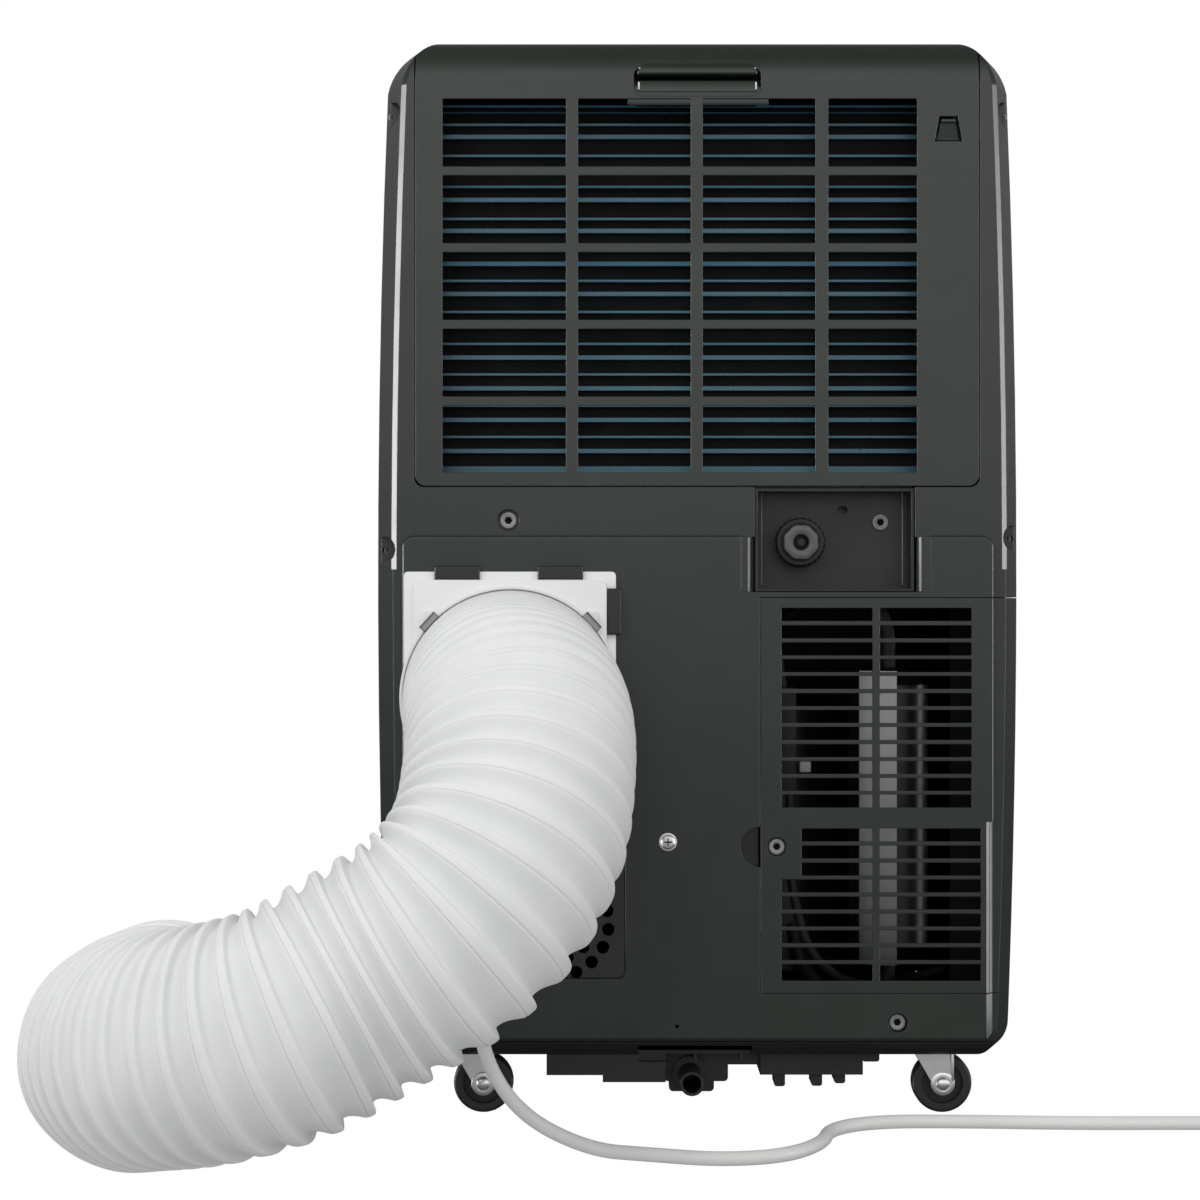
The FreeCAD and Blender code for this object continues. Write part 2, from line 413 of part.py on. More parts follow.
# ---- exhaust adapter, its clips, the duct and its end collar ----
ax0, ax1, az0, az1 = 57.7, 203.9, 209.0, 381.5
CL = [box(151.5, 182.6, 170.0, 177.6, 376.0, 385.4), box(80.4, 111.5, 170.0, 177.6, 376.0, 385.4), box(54.0, 63.8, 170.0, 177.6, 338.0, 370.0),
      box(151.5, 182.6, 170.0, 177.6, 205.0, 214.0), box(80.4, 111.5, 170.0, 177.6, 205.0, 214.0), box(54.0, 63.8, 170.0, 177.6, 222.0, 254.0)]
CL = [soften(c, 1.2, lambda e: abs(e.BoundBox.YMin - 177.6) < 1e-3) for c in CL]
slot = box(ax0 - 0.5, 260, 170.1, 174.6, az0 - 0.6, az1 + 0.6)
CL = [c.cut(slot) for c in CL]
CL = [c.Solids[0] if len(c.Solids) == 1 else max(c.Solids, key=lambda q: q.Volume) for c in CL]
ad = rrect("y", ax0, ax1, az0, az1, 3, 170.4, 174.2)
ad = fuse(ad, rrect("y", ax0 + 6.4, ax1 - 6.4, az0 + 5.6, az1 - 5.6, 5, 174.0, 177.0), cyl((PORT_X, 170.4, PORT_Z), (0, 1, 0), 76.2, 14.0), cyl((PORT_X, 170.4, PORT_Z), (0, 1, 0), 68.8, 29.6))
ad = ad.cut(cyl((PORT_X, 160, PORT_Z), (0, 1, 0), PORT_R, 60))
ad = ad.cut(tube((PORT_X, 178.4, PORT_Z), (0, 1, 0), 74.4, 68.8, 10))
for x, z in ((186.0, 349.0), (74.0, 349.0), (186.0, 241.0), (74.0, 241.0)):
    ad = fuse(ad, rrect("y", x - 4, x + 4, z - 5, z + 5, 1.5, 176, 181.0))
out("duct_adapter", ad)
out("adapter_clips", Part.makeCompound(CL))
DUCT = [(130.0, 184.6, 295.0), (127.1, 263.1, 295.8), (116.0, 336.3, 269.1), (124.4, 389.8, 210.1), (154.4, 409.0, 165.8), (209.6, 409.2, 132.4), (269.5, 423.2, 101.7), (340.4, 392.9, 86.6), (370.6, 321.5, 73.9), (361.0, 246.1, 73.9)]
hose = sweep(DUCT, DUCT_R, DUCT_R - DUCT_WALL, "duct")
out("duct_hose", hose)
e0, e1 = V(*DUCT[-2]), V(*DUCT[-1])
ed = e1 - e0
ed.normalize()
out("duct_end_collar", tube(e1, ed, DUCT_R, DUCT_R - 5.0, 24.0))

# ---- power cord, coil, gland and plug ----
CORD = [(147.0, 199.0, 102.5), (147.0, 246.0, 101.0), (146.0, 281.0, 64.0), (128.0, 283.0, 20.0), (82.0, 282.0, 4.8),
        (38.0, 297.0, 4.8), (-6.0, 313.0, 4.8), (-46.0, 300.0, 4.8), (-68.0, 264.0, 4.8),
        (-80.0, 214.0, 4.8), (-118.0, 184.0, 4.8), (-180.0, 184.0, 4.8), (-262.0, 191.0, 4.8), (-348.0, 189.0, 4.8), (-411.0, 195.0, 4.8)]
TAIL = [(-414.8, 194.2, 34.4), (-436.0, 198.2, 34.8), (-458.0, 202.8, 25.0), (-479.0, 206.0, 19.0)]
out("power_cord", Part.makeCompound([sweep(CORD, CORD_D / 2, None, "cord"), sweep(TAIL, CORD_D / 2)]))
gl = fuse(cyl((147, 162.0, 102.5), (0, 1, 0), 10.0, 8.6), cyl((147, 170.5, 102.5), (0, 1, 0), 13.0, 3.5), cone((147, 174, 102.5), (0, 1, 0), 9.5, 6.4, 25.0))
out("cord_gland", gl)
COIL_C = (-424.0, 142.0)
coil = tube((COIL_C[0], COIL_C[1], 0.1), (0, 0, 1), 59.5, 46.0, 38.6)
out("power_cord_coil", coil)
plug = fuse(cyl((-503.0, 206.0, 19.0), (-1, 0, 0), 18.5, 26.0), cone((-479.0, 206.0, 19.0), (-1, 0, 0), 6.0, 14.0, 24.2),
            cyl((-528.5, 215.5, 19.0), (-1, 0, 0), 2.4, 19.0), cyl((-528.5, 196.5, 19.0), (-1, 0, 0), 2.4, 19.0))
out("power_plug", plug)

# ---- screws ----
def hexscrew(x, y, z, r, l):
    s = fuse(cyl((x, y, z), (0, 1, 0), r, 2.6), cyl((x, y - l, z), (0, 1, 0), 2.0, l + 0.5))
    return s.cut(Part.Face(Part.makePolygon([V(x + 0.5 * r * math.cos(math.radians(60 * k)), y + 1.0, z + 0.5 * r * math.sin(math.radians(60 * k))) for k in range(7)])).extrude(V(0, 5, 0)))
scr = [hexscrew(x, 134.1, z, 5.2, 6) for x, z in pocket_at]
scr += [hexscrew(132.2, 160.1, 417.2, 5.8, 7), hexscrew(-136.9, 164.1, 70.0, 5.2, 7), hexscrew(-128.0, 137.1, 416.5, 5.6, 6)]
out("case_screws", Part.makeCompound(scr))
es = fuse(cyl((21.8, 170.05, 195.0), (0, 1, 0), 5.2, 1.8), cyl((21.8, 161, 195.0), (0, 1, 0), 2.0, 9.5))
es = cut(es, box(21.8 - 2.9, 21.8 + 2.9, 170.6, 173, 194.4, 195.6), box(21.2, 22.4, 170.6, 173, 192.1, 197.9))
out("earth_screw", es)
out("cover_screw", hexscrew(-53.4, 165.7, 191.6, 5.4, 9))

# ---- casters ----
for n, (cx, cy) in CASTERS.items():
    ax = cx - TRAIL
    fk_ = fuse(cyl((cx, cy, 50), (0, 0, 1), 5.0, 22.0), cyl((cx, cy, 49.0), (0, 0, 1), 13.0, 5.5), cyl((cx, cy, 44.6), (0, 0, 1), 18.0, 4.6))
    for sy in (1, -1):
        pl = Part.Face(Part.makePolygon([V(cx + 11, cy + sy * 9.4, 46.4), V(cx - 16, cy + sy * 9.4, 46.4), V(ax - 6, cy + sy * 9.4, 22), V(ax - 3, cy + sy * 9.4, 15.5), V(ax + 4, cy + sy * 9.4, 15.5), V(cx + 11, cy + sy * 9.4, 46.4)])).extrude(V(0, sy * 1.8, 0))
        fk_ = fuse(fk_, pl)
    axle = fuse(cyl((ax, cy - 12.4, 21), (0, 1, 0), 3.0, 24.8), cyl((ax, cy - 12.6, 21), (0, 1, 0), 4.2, 1.4), cyl((ax, cy + 11.2, 21), (0, 1, 0), 4.2, 1.4))
    fk_ = fuse(fk_, axle)
    out("caster_fork_" + n, fk_)
    w = fuse(tube((ax, cy - WHEEL_W / 2, 21), (0, 1, 0), WHEEL_R, 14.5, WHEEL_W), tube((ax, cy - 3.0, 21), (0, 1, 0), 15.0, 6.0, 6.0), tube((ax, cy - WHEEL_W / 2 - 0.6, 21), (0, 1, 0), 7.0, 3.06, WHEEL_W + 1.2))
    w = soften(w, 2.6, lambda e: e.Curve.TypeId == "Part::GeomCircle" and abs(e.Curve.Radius - WHEEL_R) < 1e-3)
    out("caster_wheel_" + n, w)

# ---- louver flap and vanes ----
fl = rrect("y", -149.0, 149.0, 648.2, 720.2, 7.0, -199.6, -196.8)
fl = fuse(fl, box(-149.0, -144, -197, -189.2, 652.4, 657.6), box(144, 149.0, -197, -189.2, 652.4, 657.6), cyl((-153.5, -191.5, 655), (1, 0, 0), 2.5, 8), cyl((145.5, -191.5, 655), (1, 0, 0), 2.5, 8))
out("louver_flap", fl)
VX = (-105.0, -35.0, 35.0, 105.0)
for i, x in enumerate(VX):
    v = fuse(box(x - 0.9, x + 0.9, -178, -146, 647.5, 722.5), cyl((x, -152, 641.0), (0, 0, 1), 2.2, 85.0), cyl((x, -170, 684), (0, 0, 1), 1.8, 7.0).cut(box(x - 5, x + 5, -180, -100, 684, 684.01)))
    v = v.cut(box(x - 3, x + 3, -174.8, -160, 685.0, 690.0).cut(cyl((x, -170, 680), (0, 0, 1), 1.8, 20)))
    out("vane_%d" % (i + 1), v)
bar = box(-112, 112, -172.6, -167.4, 686.0, 689.0)
bar = bar.cut(Part.makeCompound([cyl((x, -170, 680), (0, 0, 1), 2.15, 20) for x in VX]))
out("vane_link", bar)

# ---- air handling ----
mid = rrect("z", -200, 200, -176, 118, 10, 398, 403)
mid = fuse(mid, box(-165, 192, 60, 118, 403, 412).cut(box(-162.5, 189.5, 62.5, 115.5, 401, 413)))
mid = cut(mid, cyl((-188, 30, 390), (0, 0, 1), 9, 30), cyl((-188, 0, 390), (0, 0, 1), 9, 30), box(150, 190, -150, -110, 390, 410))
mid = cut(mid, cyl((-100, 76, 380), (0, 0, 1), 7.2, 40), cyl((-46, 90, 380), (0, 0, 1), 5.4, 40), box(-107.2, -92.8, 70, 94, 390, 403.4), box(-52, -41, 88, 104, 390, 403.4))
out("mid_deck", mid)
ev = fuse(box(-150, 178, 68, 110, 405.5, 700).cut(box(-146, 174, 72, 106, 409.5, 696)), box(-153, -150, 66, 112, 405.5, 703), box(178, 181, 66, 112, 405.5, 703))
ev = fuse(ev, *[Part.makeTorus(10.5, 3.6, V(181, 89, 424 + 42 * k), V(0, 1, 0), 0, 360, 360).common(box(180, 210, 60, 120, 400, 720)) for k in range(7)])
out("evaporator_coil", ev)
so = fuse(cyl((0, -36, 530), (0, 1, 0), 112, 86), box(-112, 112, -36, 50, 530, 645), box(-146, 146, -182, 50, 640, 731))
si = fuse(cyl((0, -33.5, 530), (0, 1, 0), 109.5, 81), box(-109.5, 109.5, -33.5, 47.5, 530, 646), box(-143.5, 143.5, -190, 47.5, 643.0, 728.0))
sc = so.cut(si)
sc = cut(sc, cyl((0, 40, 530), (0, 1, 0), 78, 20), cyl((0, -60, 530), (0, 1, 0), 7, 40), *[cyl((x, -152, 635), (0, 0, 1), 2.26, 110) for x in VX])
out("room_air_scroll", sc)
def fanwheel(c, d, r, w, bore, side):
    """Centrifugal wheel: back plate, hub, ring and forward blades."""
    c, d = V(*c), V(*d)
    parts = [Part.makeCylinder(r, 2.5, c, d), Part.makeCylinder(14, w * 0.55, c, d), Part.makeCylinder(r, 3.0, c + d * (w - 3.0), d).cut(Part.makeCylinder(r - 16, 5, c + d * (w - 4.0), d))]
    n = 24
    a0 = V(1, 0, 0) if abs(d.x) < 0.5 else V(0, 1, 0)
    blades = []
    base = Part.makeBox(13.5, 1.5, w - 1.0, V(r - 15.0, -0.75, 0.5))
    base.rotate(V(r - 8, 0, 0), V(0, 0, 1), 28)
    for k in range(n):
        q = base.copy()
        q.rotate(V(0, 0, 0), V(0, 0, 1), 360.0 * k / n)
        blades.append(q)
    pl = FreeCAD.Placement(c, FreeCAD.Rotation(V(0, 0, 1), d))
    bl = []
    for q in blades:
        q.Placement = pl.multiply(q.Placement)
        bl.append(q)
    s = parts[0].multiFuse(parts[1:] + bl)
    return s.cut(Part.makeCylinder(bore, w + 10, c - d * 5, d))
out("room_fan_wheel", fanwheel((0, -24, 530), (0, 1, 0), 92, 62, 4.05, 1))
out("room_fan_motor", fuse(cyl((0, -108, 530), (0, 1, 0), 46, 64), cyl((0, -44, 530), (0, 1, 0), 6.0, 14), cyl((0, -34, 530), (0, 1, 0), 4.0, 46),
    *[box(x - 5, x + 5, -46, -36.2, z - 5, z + 5) for x, z in ((36, 556), (-36, 556), (36, 504), (-36, 504))]))
eo = fuse(cyl((84, 20, 250), (1, 0, 0), 96, 80), box(84, 164, 20, 163, 250 + 0, 346))
ei = fuse(cyl((86.5, 20, 250), (1, 0, 0), 93.5, 75), box(86.5, 161.5, 20, 170, 252.5, 343.5))
ec = eo.cut(ei)
ec = cut(ec, cyl((80, 20, 250), (1, 0, 0), 62, 8), cyl((155, 20, 250), (1, 0, 0), 7, 20))
out("exhaust_scroll", ec)
out("exhaust_fan_wheel", fanwheel((150, 20, 250), (-1, 0, 0), 76, 56, 4.05, 1))
out("exhaust_fan_motor", fuse(cyl((169, 20, 250), (1, 0, 0), 44, 46), cyl((163, 20, 250), (1, 0, 0), 6.0, 8), cyl((108, 20, 250), (1, 0, 0), 4.0, 58),
    *[box(164.2, 171, 20 + y - 5, 20 + y + 5, 250 + z - 5, 250 + z + 5) for y, z in ((34, 28), (-34, 28), (34, -28), (-34, -28))]))
cn = fuse(box(-210, -184, -150, 96, 66, 386), box(-212, -182, 96, 98.5, 64, 388), box(-212, -182, -152.5, -150, 64, 388))
cn = cut(cn, box(-206, -188, -146, 92, 70, 382))
out("condenser_coil", cn)
cm = fuse(cyl((-58, 6, 92), (0, 0, 1), 58, 190), cone((-58, 6, 282), (0, 0, 1), 58, 30, 14), cone((-58, 6, 80), (0, 0, 1), 44, 58, 12), cyl((-58, 6, 296), (0, 0, 1), 12, 10))
feet = [(-58 + 74 * math.cos(math.radians(a)), 6 + 74 * math.sin(math.radians(a))) for a in (100, 220, 340)]
cm = fuse(cm, rrect("z", -58 - 50, -58 + 50, 6 - 50, 6 + 50, 12, 80, 84), *[cyl((x, y, 80), (0, 0, 1), 12, 4) for x, y in feet], cyl((-58, 6, 80), (0, 0, 1), 66, 4))
cm = cut(cm, *[cyl((x, y, 78), (0, 0, 1), 6.0, 8) for x, y in feet])
cm = cut(cm, cyl((-58, 6, 94), (0, 0, 1), 46, 184))
out("compressor", cm)
gr = []
for x, y in feet:
    gr.append(fuse(cyl((x, y, 47.6), (0, 0, 1), 11, 14), cyl((x, y, 61.6), (0, 0, 1), 8, 6), cyl((x, y, 67), (0, 0, 1), 11, 13.0), cyl((x, y, 79), (0, 0, 1), 5.9, 8), cyl((x, y, 84.1), (0, 0, 1), 9.0, 3)))
out("compressor_grommets", Part.makeCompound(gr))
ac = fuse(cyl((-137, 106, 118), (0, 0, 1), 28, 184), cone((-137, 106, 302), (0, 0, 1), 28, 10, 12), cone((-137, 106, 106), (0, 0, 1), 12, 28, 12))
out("accumulator", ac)
pipes = [sweep([(-137, 106, 313.5), (-137, 106, 345), (-120, 100, 372), (-100, 80, 392), (-100, 76, 404.9)], 5.0),
         sweep([(-137, 106, 106.4), (-137, 104, 90), (-118, 84, 76), (-92, 62, 78), (-76, 66, 100), (-72, 62.2, 126)], 5.0),
         sweep([(-58, 6, 305.6), (-58, 6, 336), (-80, 0, 356), (-130, -20, 366), (-183.8, -30, 366)], 4.0),
         sweep([(-183.8, 40, 90), (-160, 44, 84), (-110, 96, 86), (-80, 118, 110), (-66, 120, 160), (-66, 120, 230), (-62, 116, 300), (-50, 100, 370), (-46, 90, 404.9)], 3.2)]
pipes = [cut(p, cm, ac) for p in pipes]
out("refrigerant_pipes", Part.makeCompound([max(p.Solids, key=lambda q: q.Volume) for p in pipes]))
eb = box(60, 196, -178, -120, 408, 560)
eb = eb.cut(box(62, 194, -176, -122, 410, 558))
out("electronics_box", eb)
print(len(NODES), "nodes")
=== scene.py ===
import bpy, bmesh, math
import numpy as np
from mathutils import Vector, Matrix, Quaternion


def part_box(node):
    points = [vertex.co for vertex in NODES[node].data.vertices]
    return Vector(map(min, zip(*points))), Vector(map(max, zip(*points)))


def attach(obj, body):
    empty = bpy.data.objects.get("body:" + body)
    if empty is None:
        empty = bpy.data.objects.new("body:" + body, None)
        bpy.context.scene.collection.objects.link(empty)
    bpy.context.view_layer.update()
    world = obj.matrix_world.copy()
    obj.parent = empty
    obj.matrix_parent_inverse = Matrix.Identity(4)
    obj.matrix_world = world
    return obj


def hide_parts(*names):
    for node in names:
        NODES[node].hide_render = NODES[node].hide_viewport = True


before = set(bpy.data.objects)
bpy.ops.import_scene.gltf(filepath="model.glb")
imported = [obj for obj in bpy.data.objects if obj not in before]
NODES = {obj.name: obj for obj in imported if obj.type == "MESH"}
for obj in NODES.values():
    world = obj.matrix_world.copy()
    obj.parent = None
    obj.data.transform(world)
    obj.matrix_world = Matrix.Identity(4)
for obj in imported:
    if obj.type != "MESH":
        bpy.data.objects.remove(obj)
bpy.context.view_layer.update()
SC = bpy.context.scene

# ------------------------------------------------------------------ camera
cam_d = bpy.data.cameras.new("camera")
cam = bpy.data.objects.new("camera", cam_d)
SC.collection.objects.link(cam)
cam_d.sensor_width = 36.0
cam_d.lens = 82.59
cam.location = (0.0687, 2.070, 0.362)
cam.rotation_euler = (math.radians(90), 0, math.radians(180))
cam_d.clip_start, cam_d.clip_end = 0.05, 40
SC.camera = cam

# ------------------------------------------------------------------ materials
def lin(h):
    h = h.lstrip("#")
    c = [int(h[i:i + 2], 16) / 255 for i in (0, 2, 4)]
    return tuple(x / 12.92 if x <= 0.04045 else ((x + 0.055) / 1.055) ** 2.4 for x in c)

class M:
    """A small builder for procedural materials."""
    def __init__(self, name):
        self.m = bpy.data.materials.new(name)
        self.m.use_nodes = True
        self.t = self.m.node_tree
        self.b = self.t.nodes["Principled BSDF"]
        self.co = None
    def n(self, kind, **kw):
        x = self.t.nodes.new(kind)
        for k, v in kw.items():
            if k in x.inputs:
                x.inputs[k].default_value = v
            else:
                setattr(x, k, v)
        return x
    def link(self, a, b):
        self.t.links.new(a, b)
    def coords(self):
        if not self.co:
            self.co = self.n("ShaderNodeTexCoord").outputs["Object"]
        return self.co
    def noise(self, scale, detail=3.0, rough=0.5, vec=None):
        x = self.n("ShaderNodeTexNoise")
        x.inputs["Scale"].default_value = scale
        x.inputs["Detail"].default_value = detail
        x.inputs["Roughness"].default_value = rough
        self.link(vec if vec is not None else self.coords(), x.inputs["Vector"])
        return x.outputs["Fac"]
    def ramp(self, fac, stops):
        x = self.n("ShaderNodeValToRGB")
        cr = x.color_ramp
        while len(cr.elements) < len(stops):
            cr.elements.new(0.5)
        for e, (p, c) in zip(cr.elements, stops):
            e.position = p
            e.color = (*c, 1) if len(c) == 3 else c
        self.link(fac, x.inputs["Fac"])
        return x.outputs["Color"]
    def rng(self, fac, a, b, lo=0.0, hi=1.0):
        x = self.n("ShaderNodeMapRange")
        for k, v in (("From Min", lo), ("From Max", hi), ("To Min", a), ("To Max", b)):
            x.inputs[k].default_value = v
        self.link(fac, x.inputs["Value"])
        return x.outputs["Result"]
    def color(self, a, b, fac):
        self.link(self.ramp(fac, [(0.3, a), (0.7, b)]), self.b.inputs["Base Color"])
        return self
    def rough(self, a, b, fac):
        self.link(self.rng(fac, a, b, 0.3, 0.7), self.b.inputs["Roughness"])
        return self
    def bump(self, fac, strength, dist, prev=None, bevel=None):
        x = self.n("ShaderNodeBump")
        x.inputs["Strength"].default_value = strength
        x.inputs["Distance"].default_value = dist
        self.link(fac, x.inputs["Height"])
        if prev is not None:
            self.link(prev, x.inputs["Normal"])
        elif bevel:
            bv = self.n("ShaderNodeBevel")
            bv.samples = 4
            bv.inputs["Radius"].default_value = bevel
            self.link(bv.outputs["Normal"], x.inputs["Normal"])
        self.link(x.outputs["Normal"], self.b.inputs["Normal"])
        return x.outputs["Normal"]
    def set(self, **kw):
        for k, v in kw.items():
            self.b.inputs[k.replace("_", " ")].default_value = v
        return self

def plastic(name, a, b, r0, r1, grain=900.0, depth=0.00006, strength=0.35, bevel=0.0009, spec=0.5, coat=0.0):
    """Moulded plastic: slight mottling, a fine spark-eroded grain and rounded edges."""
    m = M(name)
    big, fine = m.noise(9.0, 4.0, 0.55), m.noise(grain, 2.0, 0.6)
    m.color(a, b, big)
    m.rough(r0, r1, m.noise(35.0, 5.0, 0.6))
    m.bump(fine, strength, depth, bevel=bevel)
    m.set(IOR=1.5)
    m.b.inputs["Specular IOR Level"].default_value = spec
    if coat:
        m.b.inputs["Coat Weight"].default_value = coat
        m.b.inputs["Coat Roughness"].default_value = 0.12
    return m.m

def metal(name, a, b, r0, r1, scale=250.0, strength=0.15):
    m = M(name)
    m.color(a, b, m.noise(60.0, 4.0, 0.6))
    m.rough(r0, r1, m.noise(scale, 4.0, 0.7))
    m.bump(m.noise(scale * 4, 2.0, 0.6), strength, 0.00005, bevel=0.0002)
    m.set(Metallic=1.0)
    return m.m

CASE = plastic("case_plastic", (0.0180, 0.0232, 0.0188), (0.0212, 0.0272, 0.0220), 0.20, 0.27, 900.0, 0.00003, 0.16)
LOWER = CASE
DARK = plastic("dark_plastic", lin("#1c1e1f"), lin("#222425"), 0.34, 0.46)
BASEM = plastic("base_plastic", lin("#141615"), lin("#1a1c1b"), 0.42, 0.55)
TOPM = plastic("top_plastic", (0.0140, 0.0200, 0.0155), (0.0170, 0.0240, 0.0185), 0.20, 0.28, 900.0, 0.00003, 0.16)
GLOSS = plastic("panel_gloss", lin("#0b0c0d"), lin("#101112"), 0.08, 0.14, 1400.0, 0.00001, 0.1, 0.0005)
BUTTON = plastic("button_plastic", lin("#3a3c3c"), lin("#434545"), 0.34, 0.42, bevel=0.0004)
WHITE = plastic("white_plastic", (0.78, 0.79, 0.785), (0.83, 0.84, 0.835), 0.50, 0.60, spec=0.25)
BLUE = plastic("filter_rib", (0.030, 0.105, 0.150), (0.040, 0.130, 0.180), 0.25, 0.34, bevel=0.0003)
CORDM = plastic("cord_sheath", (0.64, 0.64, 0.63), (0.70, 0.70, 0.69), 0.44, 0.54, 1500.0, 0.00003, 0.25, 0.0)
SCROLL = plastic("scroll_plastic", lin("#3b3d3f"), lin("#454749"), 0.5, 0.6)
FAN = plastic("fan_plastic", lin("#1b1c1d"), lin("#222324"), 0.4, 0.5, bevel=0.0)
RUB = plastic("rubber", lin("#151515"), lin("#1c1c1c"), 0.6, 0.75, 600.0, 0.0001, 0.5, 0.0004)
WHEELM = plastic("wheel_rubber", lin("#1b1b1b"), lin("#232323"), 0.42, 0.55, 700.0, 0.0001, 0.4, 0.0003)
BLACKP = plastic("black_paint", lin("#101011"), lin("#161617"), 0.3, 0.42, 300.0, 0.0001, 0.4, 0.0)
ZINC = metal("zinc_plate", lin("#9a9a96"), lin("#b4b4b0"), 0.26, 0.42)
CHROME = metal("chrome", lin("#c4c4c2"), lin("#dadad8"), 0.10, 0.2, 80.0, 0.05)
ALU = metal("aluminium", lin("#8f9294"), lin("#a6a9ab"), 0.3, 0.45)
COPPER = metal("copper", lin("#8c5236"), lin("#a9694a"), 0.24, 0.4)
MOTORM = metal("motor_steel", lin("#6a6c6e"), lin("#7c7e80"), 0.32, 0.5)

# condenser fins painted near black: painted shade inside the cabinet behind the grille
FINS = plastic("coated_fins_painted_shade", (0.0040, 0.0044, 0.0046), (0.0060, 0.0064, 0.0066), 0.5, 0.6, 300.0, 0.0001, 0.2, 0.0, 0.15)
SLEEVE = plastic("pipe_sleeve", lin("#1d1e1e"), lin("#2a2b2b"), 0.55, 0.7, 500.0, 0.0001, 0.4, 0.0)

def net(name):
    """Fine woven net: threads lighter than the gaps between them."""
    m = M(name)
    sep = m.n("ShaderNodeSeparateXYZ")
    m.link(m.coords(), sep.inputs[0])
    outs = []
    for axis in ("X", "Z"):
        a = m.n("ShaderNodeMath", operation="MULTIPLY")
        a.inputs[1].default_value = 2 * math.pi / 0.0014
        m.link(sep.outputs[axis], a.inputs[0])
        b = m.n("ShaderNodeMath", operation="SINE")
        m.link(a.outputs[0], b.inputs[0])
        outs.append(b.outputs[0])
    mx = m.n("ShaderNodeMath", operation="MAXIMUM")
    m.link(outs[0], mx.inputs[0])
    m.link(outs[1], mx.inputs[1])
    col = m.ramp(m.rng(mx.outputs[0], 0.0, 1.0, -1.0, 1.0), [(0.5, (0.0016, 0.0020, 0.0024)), (0.98, (0.0050, 0.0062, 0.0070))])
    m.link(col, m.b.inputs["Base Color"])
    m.rough(0.6, 0.75, m.noise(40.0))
    m.b.inputs["Specular IOR Level"].default_value = 0.15
    m.bump(mx.outputs[0], 0.3, 0.0001)
    return m.m
MESHM = net("filter_net")

def masked(mat, mask_of, dark=(0.0035, 0.0038, 0.0036), spec=0.08):
    """Swap the base colour and the sheen for dark ones where the mask is one."""
    nt = mat.node_tree
    b = next(x for x in nt.nodes if x.type == "BSDF_PRINCIPLED")
    def n(kind, **kw):
        x = nt.nodes.new(kind)
        for k, v in kw.items():
            setattr(x, k, v)
        return x
    fac = mask_of(nt, n)
    src = b.inputs["Base Color"].links[0].from_socket
    mix = n("ShaderNodeMix", data_type="RGBA")
    nt.links.new(fac, mix.inputs["Factor"])
    nt.links.new(src, mix.inputs["A"] if mix.inputs["A"].type == "RGBA" else mix.inputs[6])
    mix.inputs[7].default_value = (*dark, 1)
    nt.links.new(mix.outputs[2], b.inputs["Base Color"])
    mr = n("ShaderNodeMapRange")
    for k, v in (("From Min", 0.0), ("From Max", 1.0), ("To Min", b.inputs["Specular IOR Level"].default_value), ("To Max", spec)):
        mr.inputs[k].default_value = v
    nt.links.new(fac, mr.inputs["Value"])
    nt.links.new(mr.outputs["Result"], b.inputs["Specular IOR Level"])
    return mat

def inside_wall_shade_mask(nt, n):
    """One on faces that look at the middle of the cabinet: the inside walls, where shade is painted on."""
    geo = n("ShaderNodeNewGeometry")
    flat = n("ShaderNodeVectorMath", operation="MULTIPLY")
    flat.inputs[1].default_value = (1, 1, 0)
    nt.links.new(geo.outputs["Position"], flat.inputs[0])
    dot = n("ShaderNodeVectorMath", operation="DOT_PRODUCT")
    nt.links.new(flat.outputs[0], dot.inputs[0])
    nt.links.new(geo.outputs["True Normal"], dot.inputs[1])
    lt = n("ShaderNodeMath", operation="LESS_THAN")
    lt.inputs[1].default_value = -0.06
    nt.links.new(dot.outputs["Value"], lt.inputs[0])
    return lt.outputs[0]

def top_border(nt, n):
    """One on the filter frame's top border, except for a thin line along it."""
    geo = n("ShaderNodeTexCoord")
    sep = n("ShaderNodeSeparateXYZ")
    nt.links.new(geo.outputs["Object"], sep.inputs[0])
    outs = []
    for lo, hi in ((0.7052, 0.7084), (0.7101, 0.7200)):
        a, b = n("ShaderNodeMath", operation="GREATER_THAN"), n("ShaderNodeMath", operation="LESS_THAN")
        a.inputs[1].default_value, b.inputs[1].default_value = lo, hi
        nt.links.new(sep.outputs["Z"], a.inputs[0])
        nt.links.new(sep.outputs["Z"], b.inputs[0])
        c = n("ShaderNodeMath", operation="MULTIPLY")
        nt.links.new(a.outputs[0], c.inputs[0])
        nt.links.new(b.outputs[0], c.inputs[1])
        outs.append(c)
    s = n("ShaderNodeMath", operation="ADD")
    nt.links.new(outs[0].outputs[0], s.inputs[0])
    nt.links.new(outs[1].outputs[0], s.inputs[1])
    return s.outputs[0]
# painted shade: the case's inside walls, seen through the grilles, are painted near black with little sheen
masked(CASE, inside_wall_shade_mask)
masked(BLUE, top_border, (0.003, 0.004, 0.005))

def assign(node, mat):
    o = NODES[node]
    o.data.materials.clear()
    o.data.materials.append(mat)

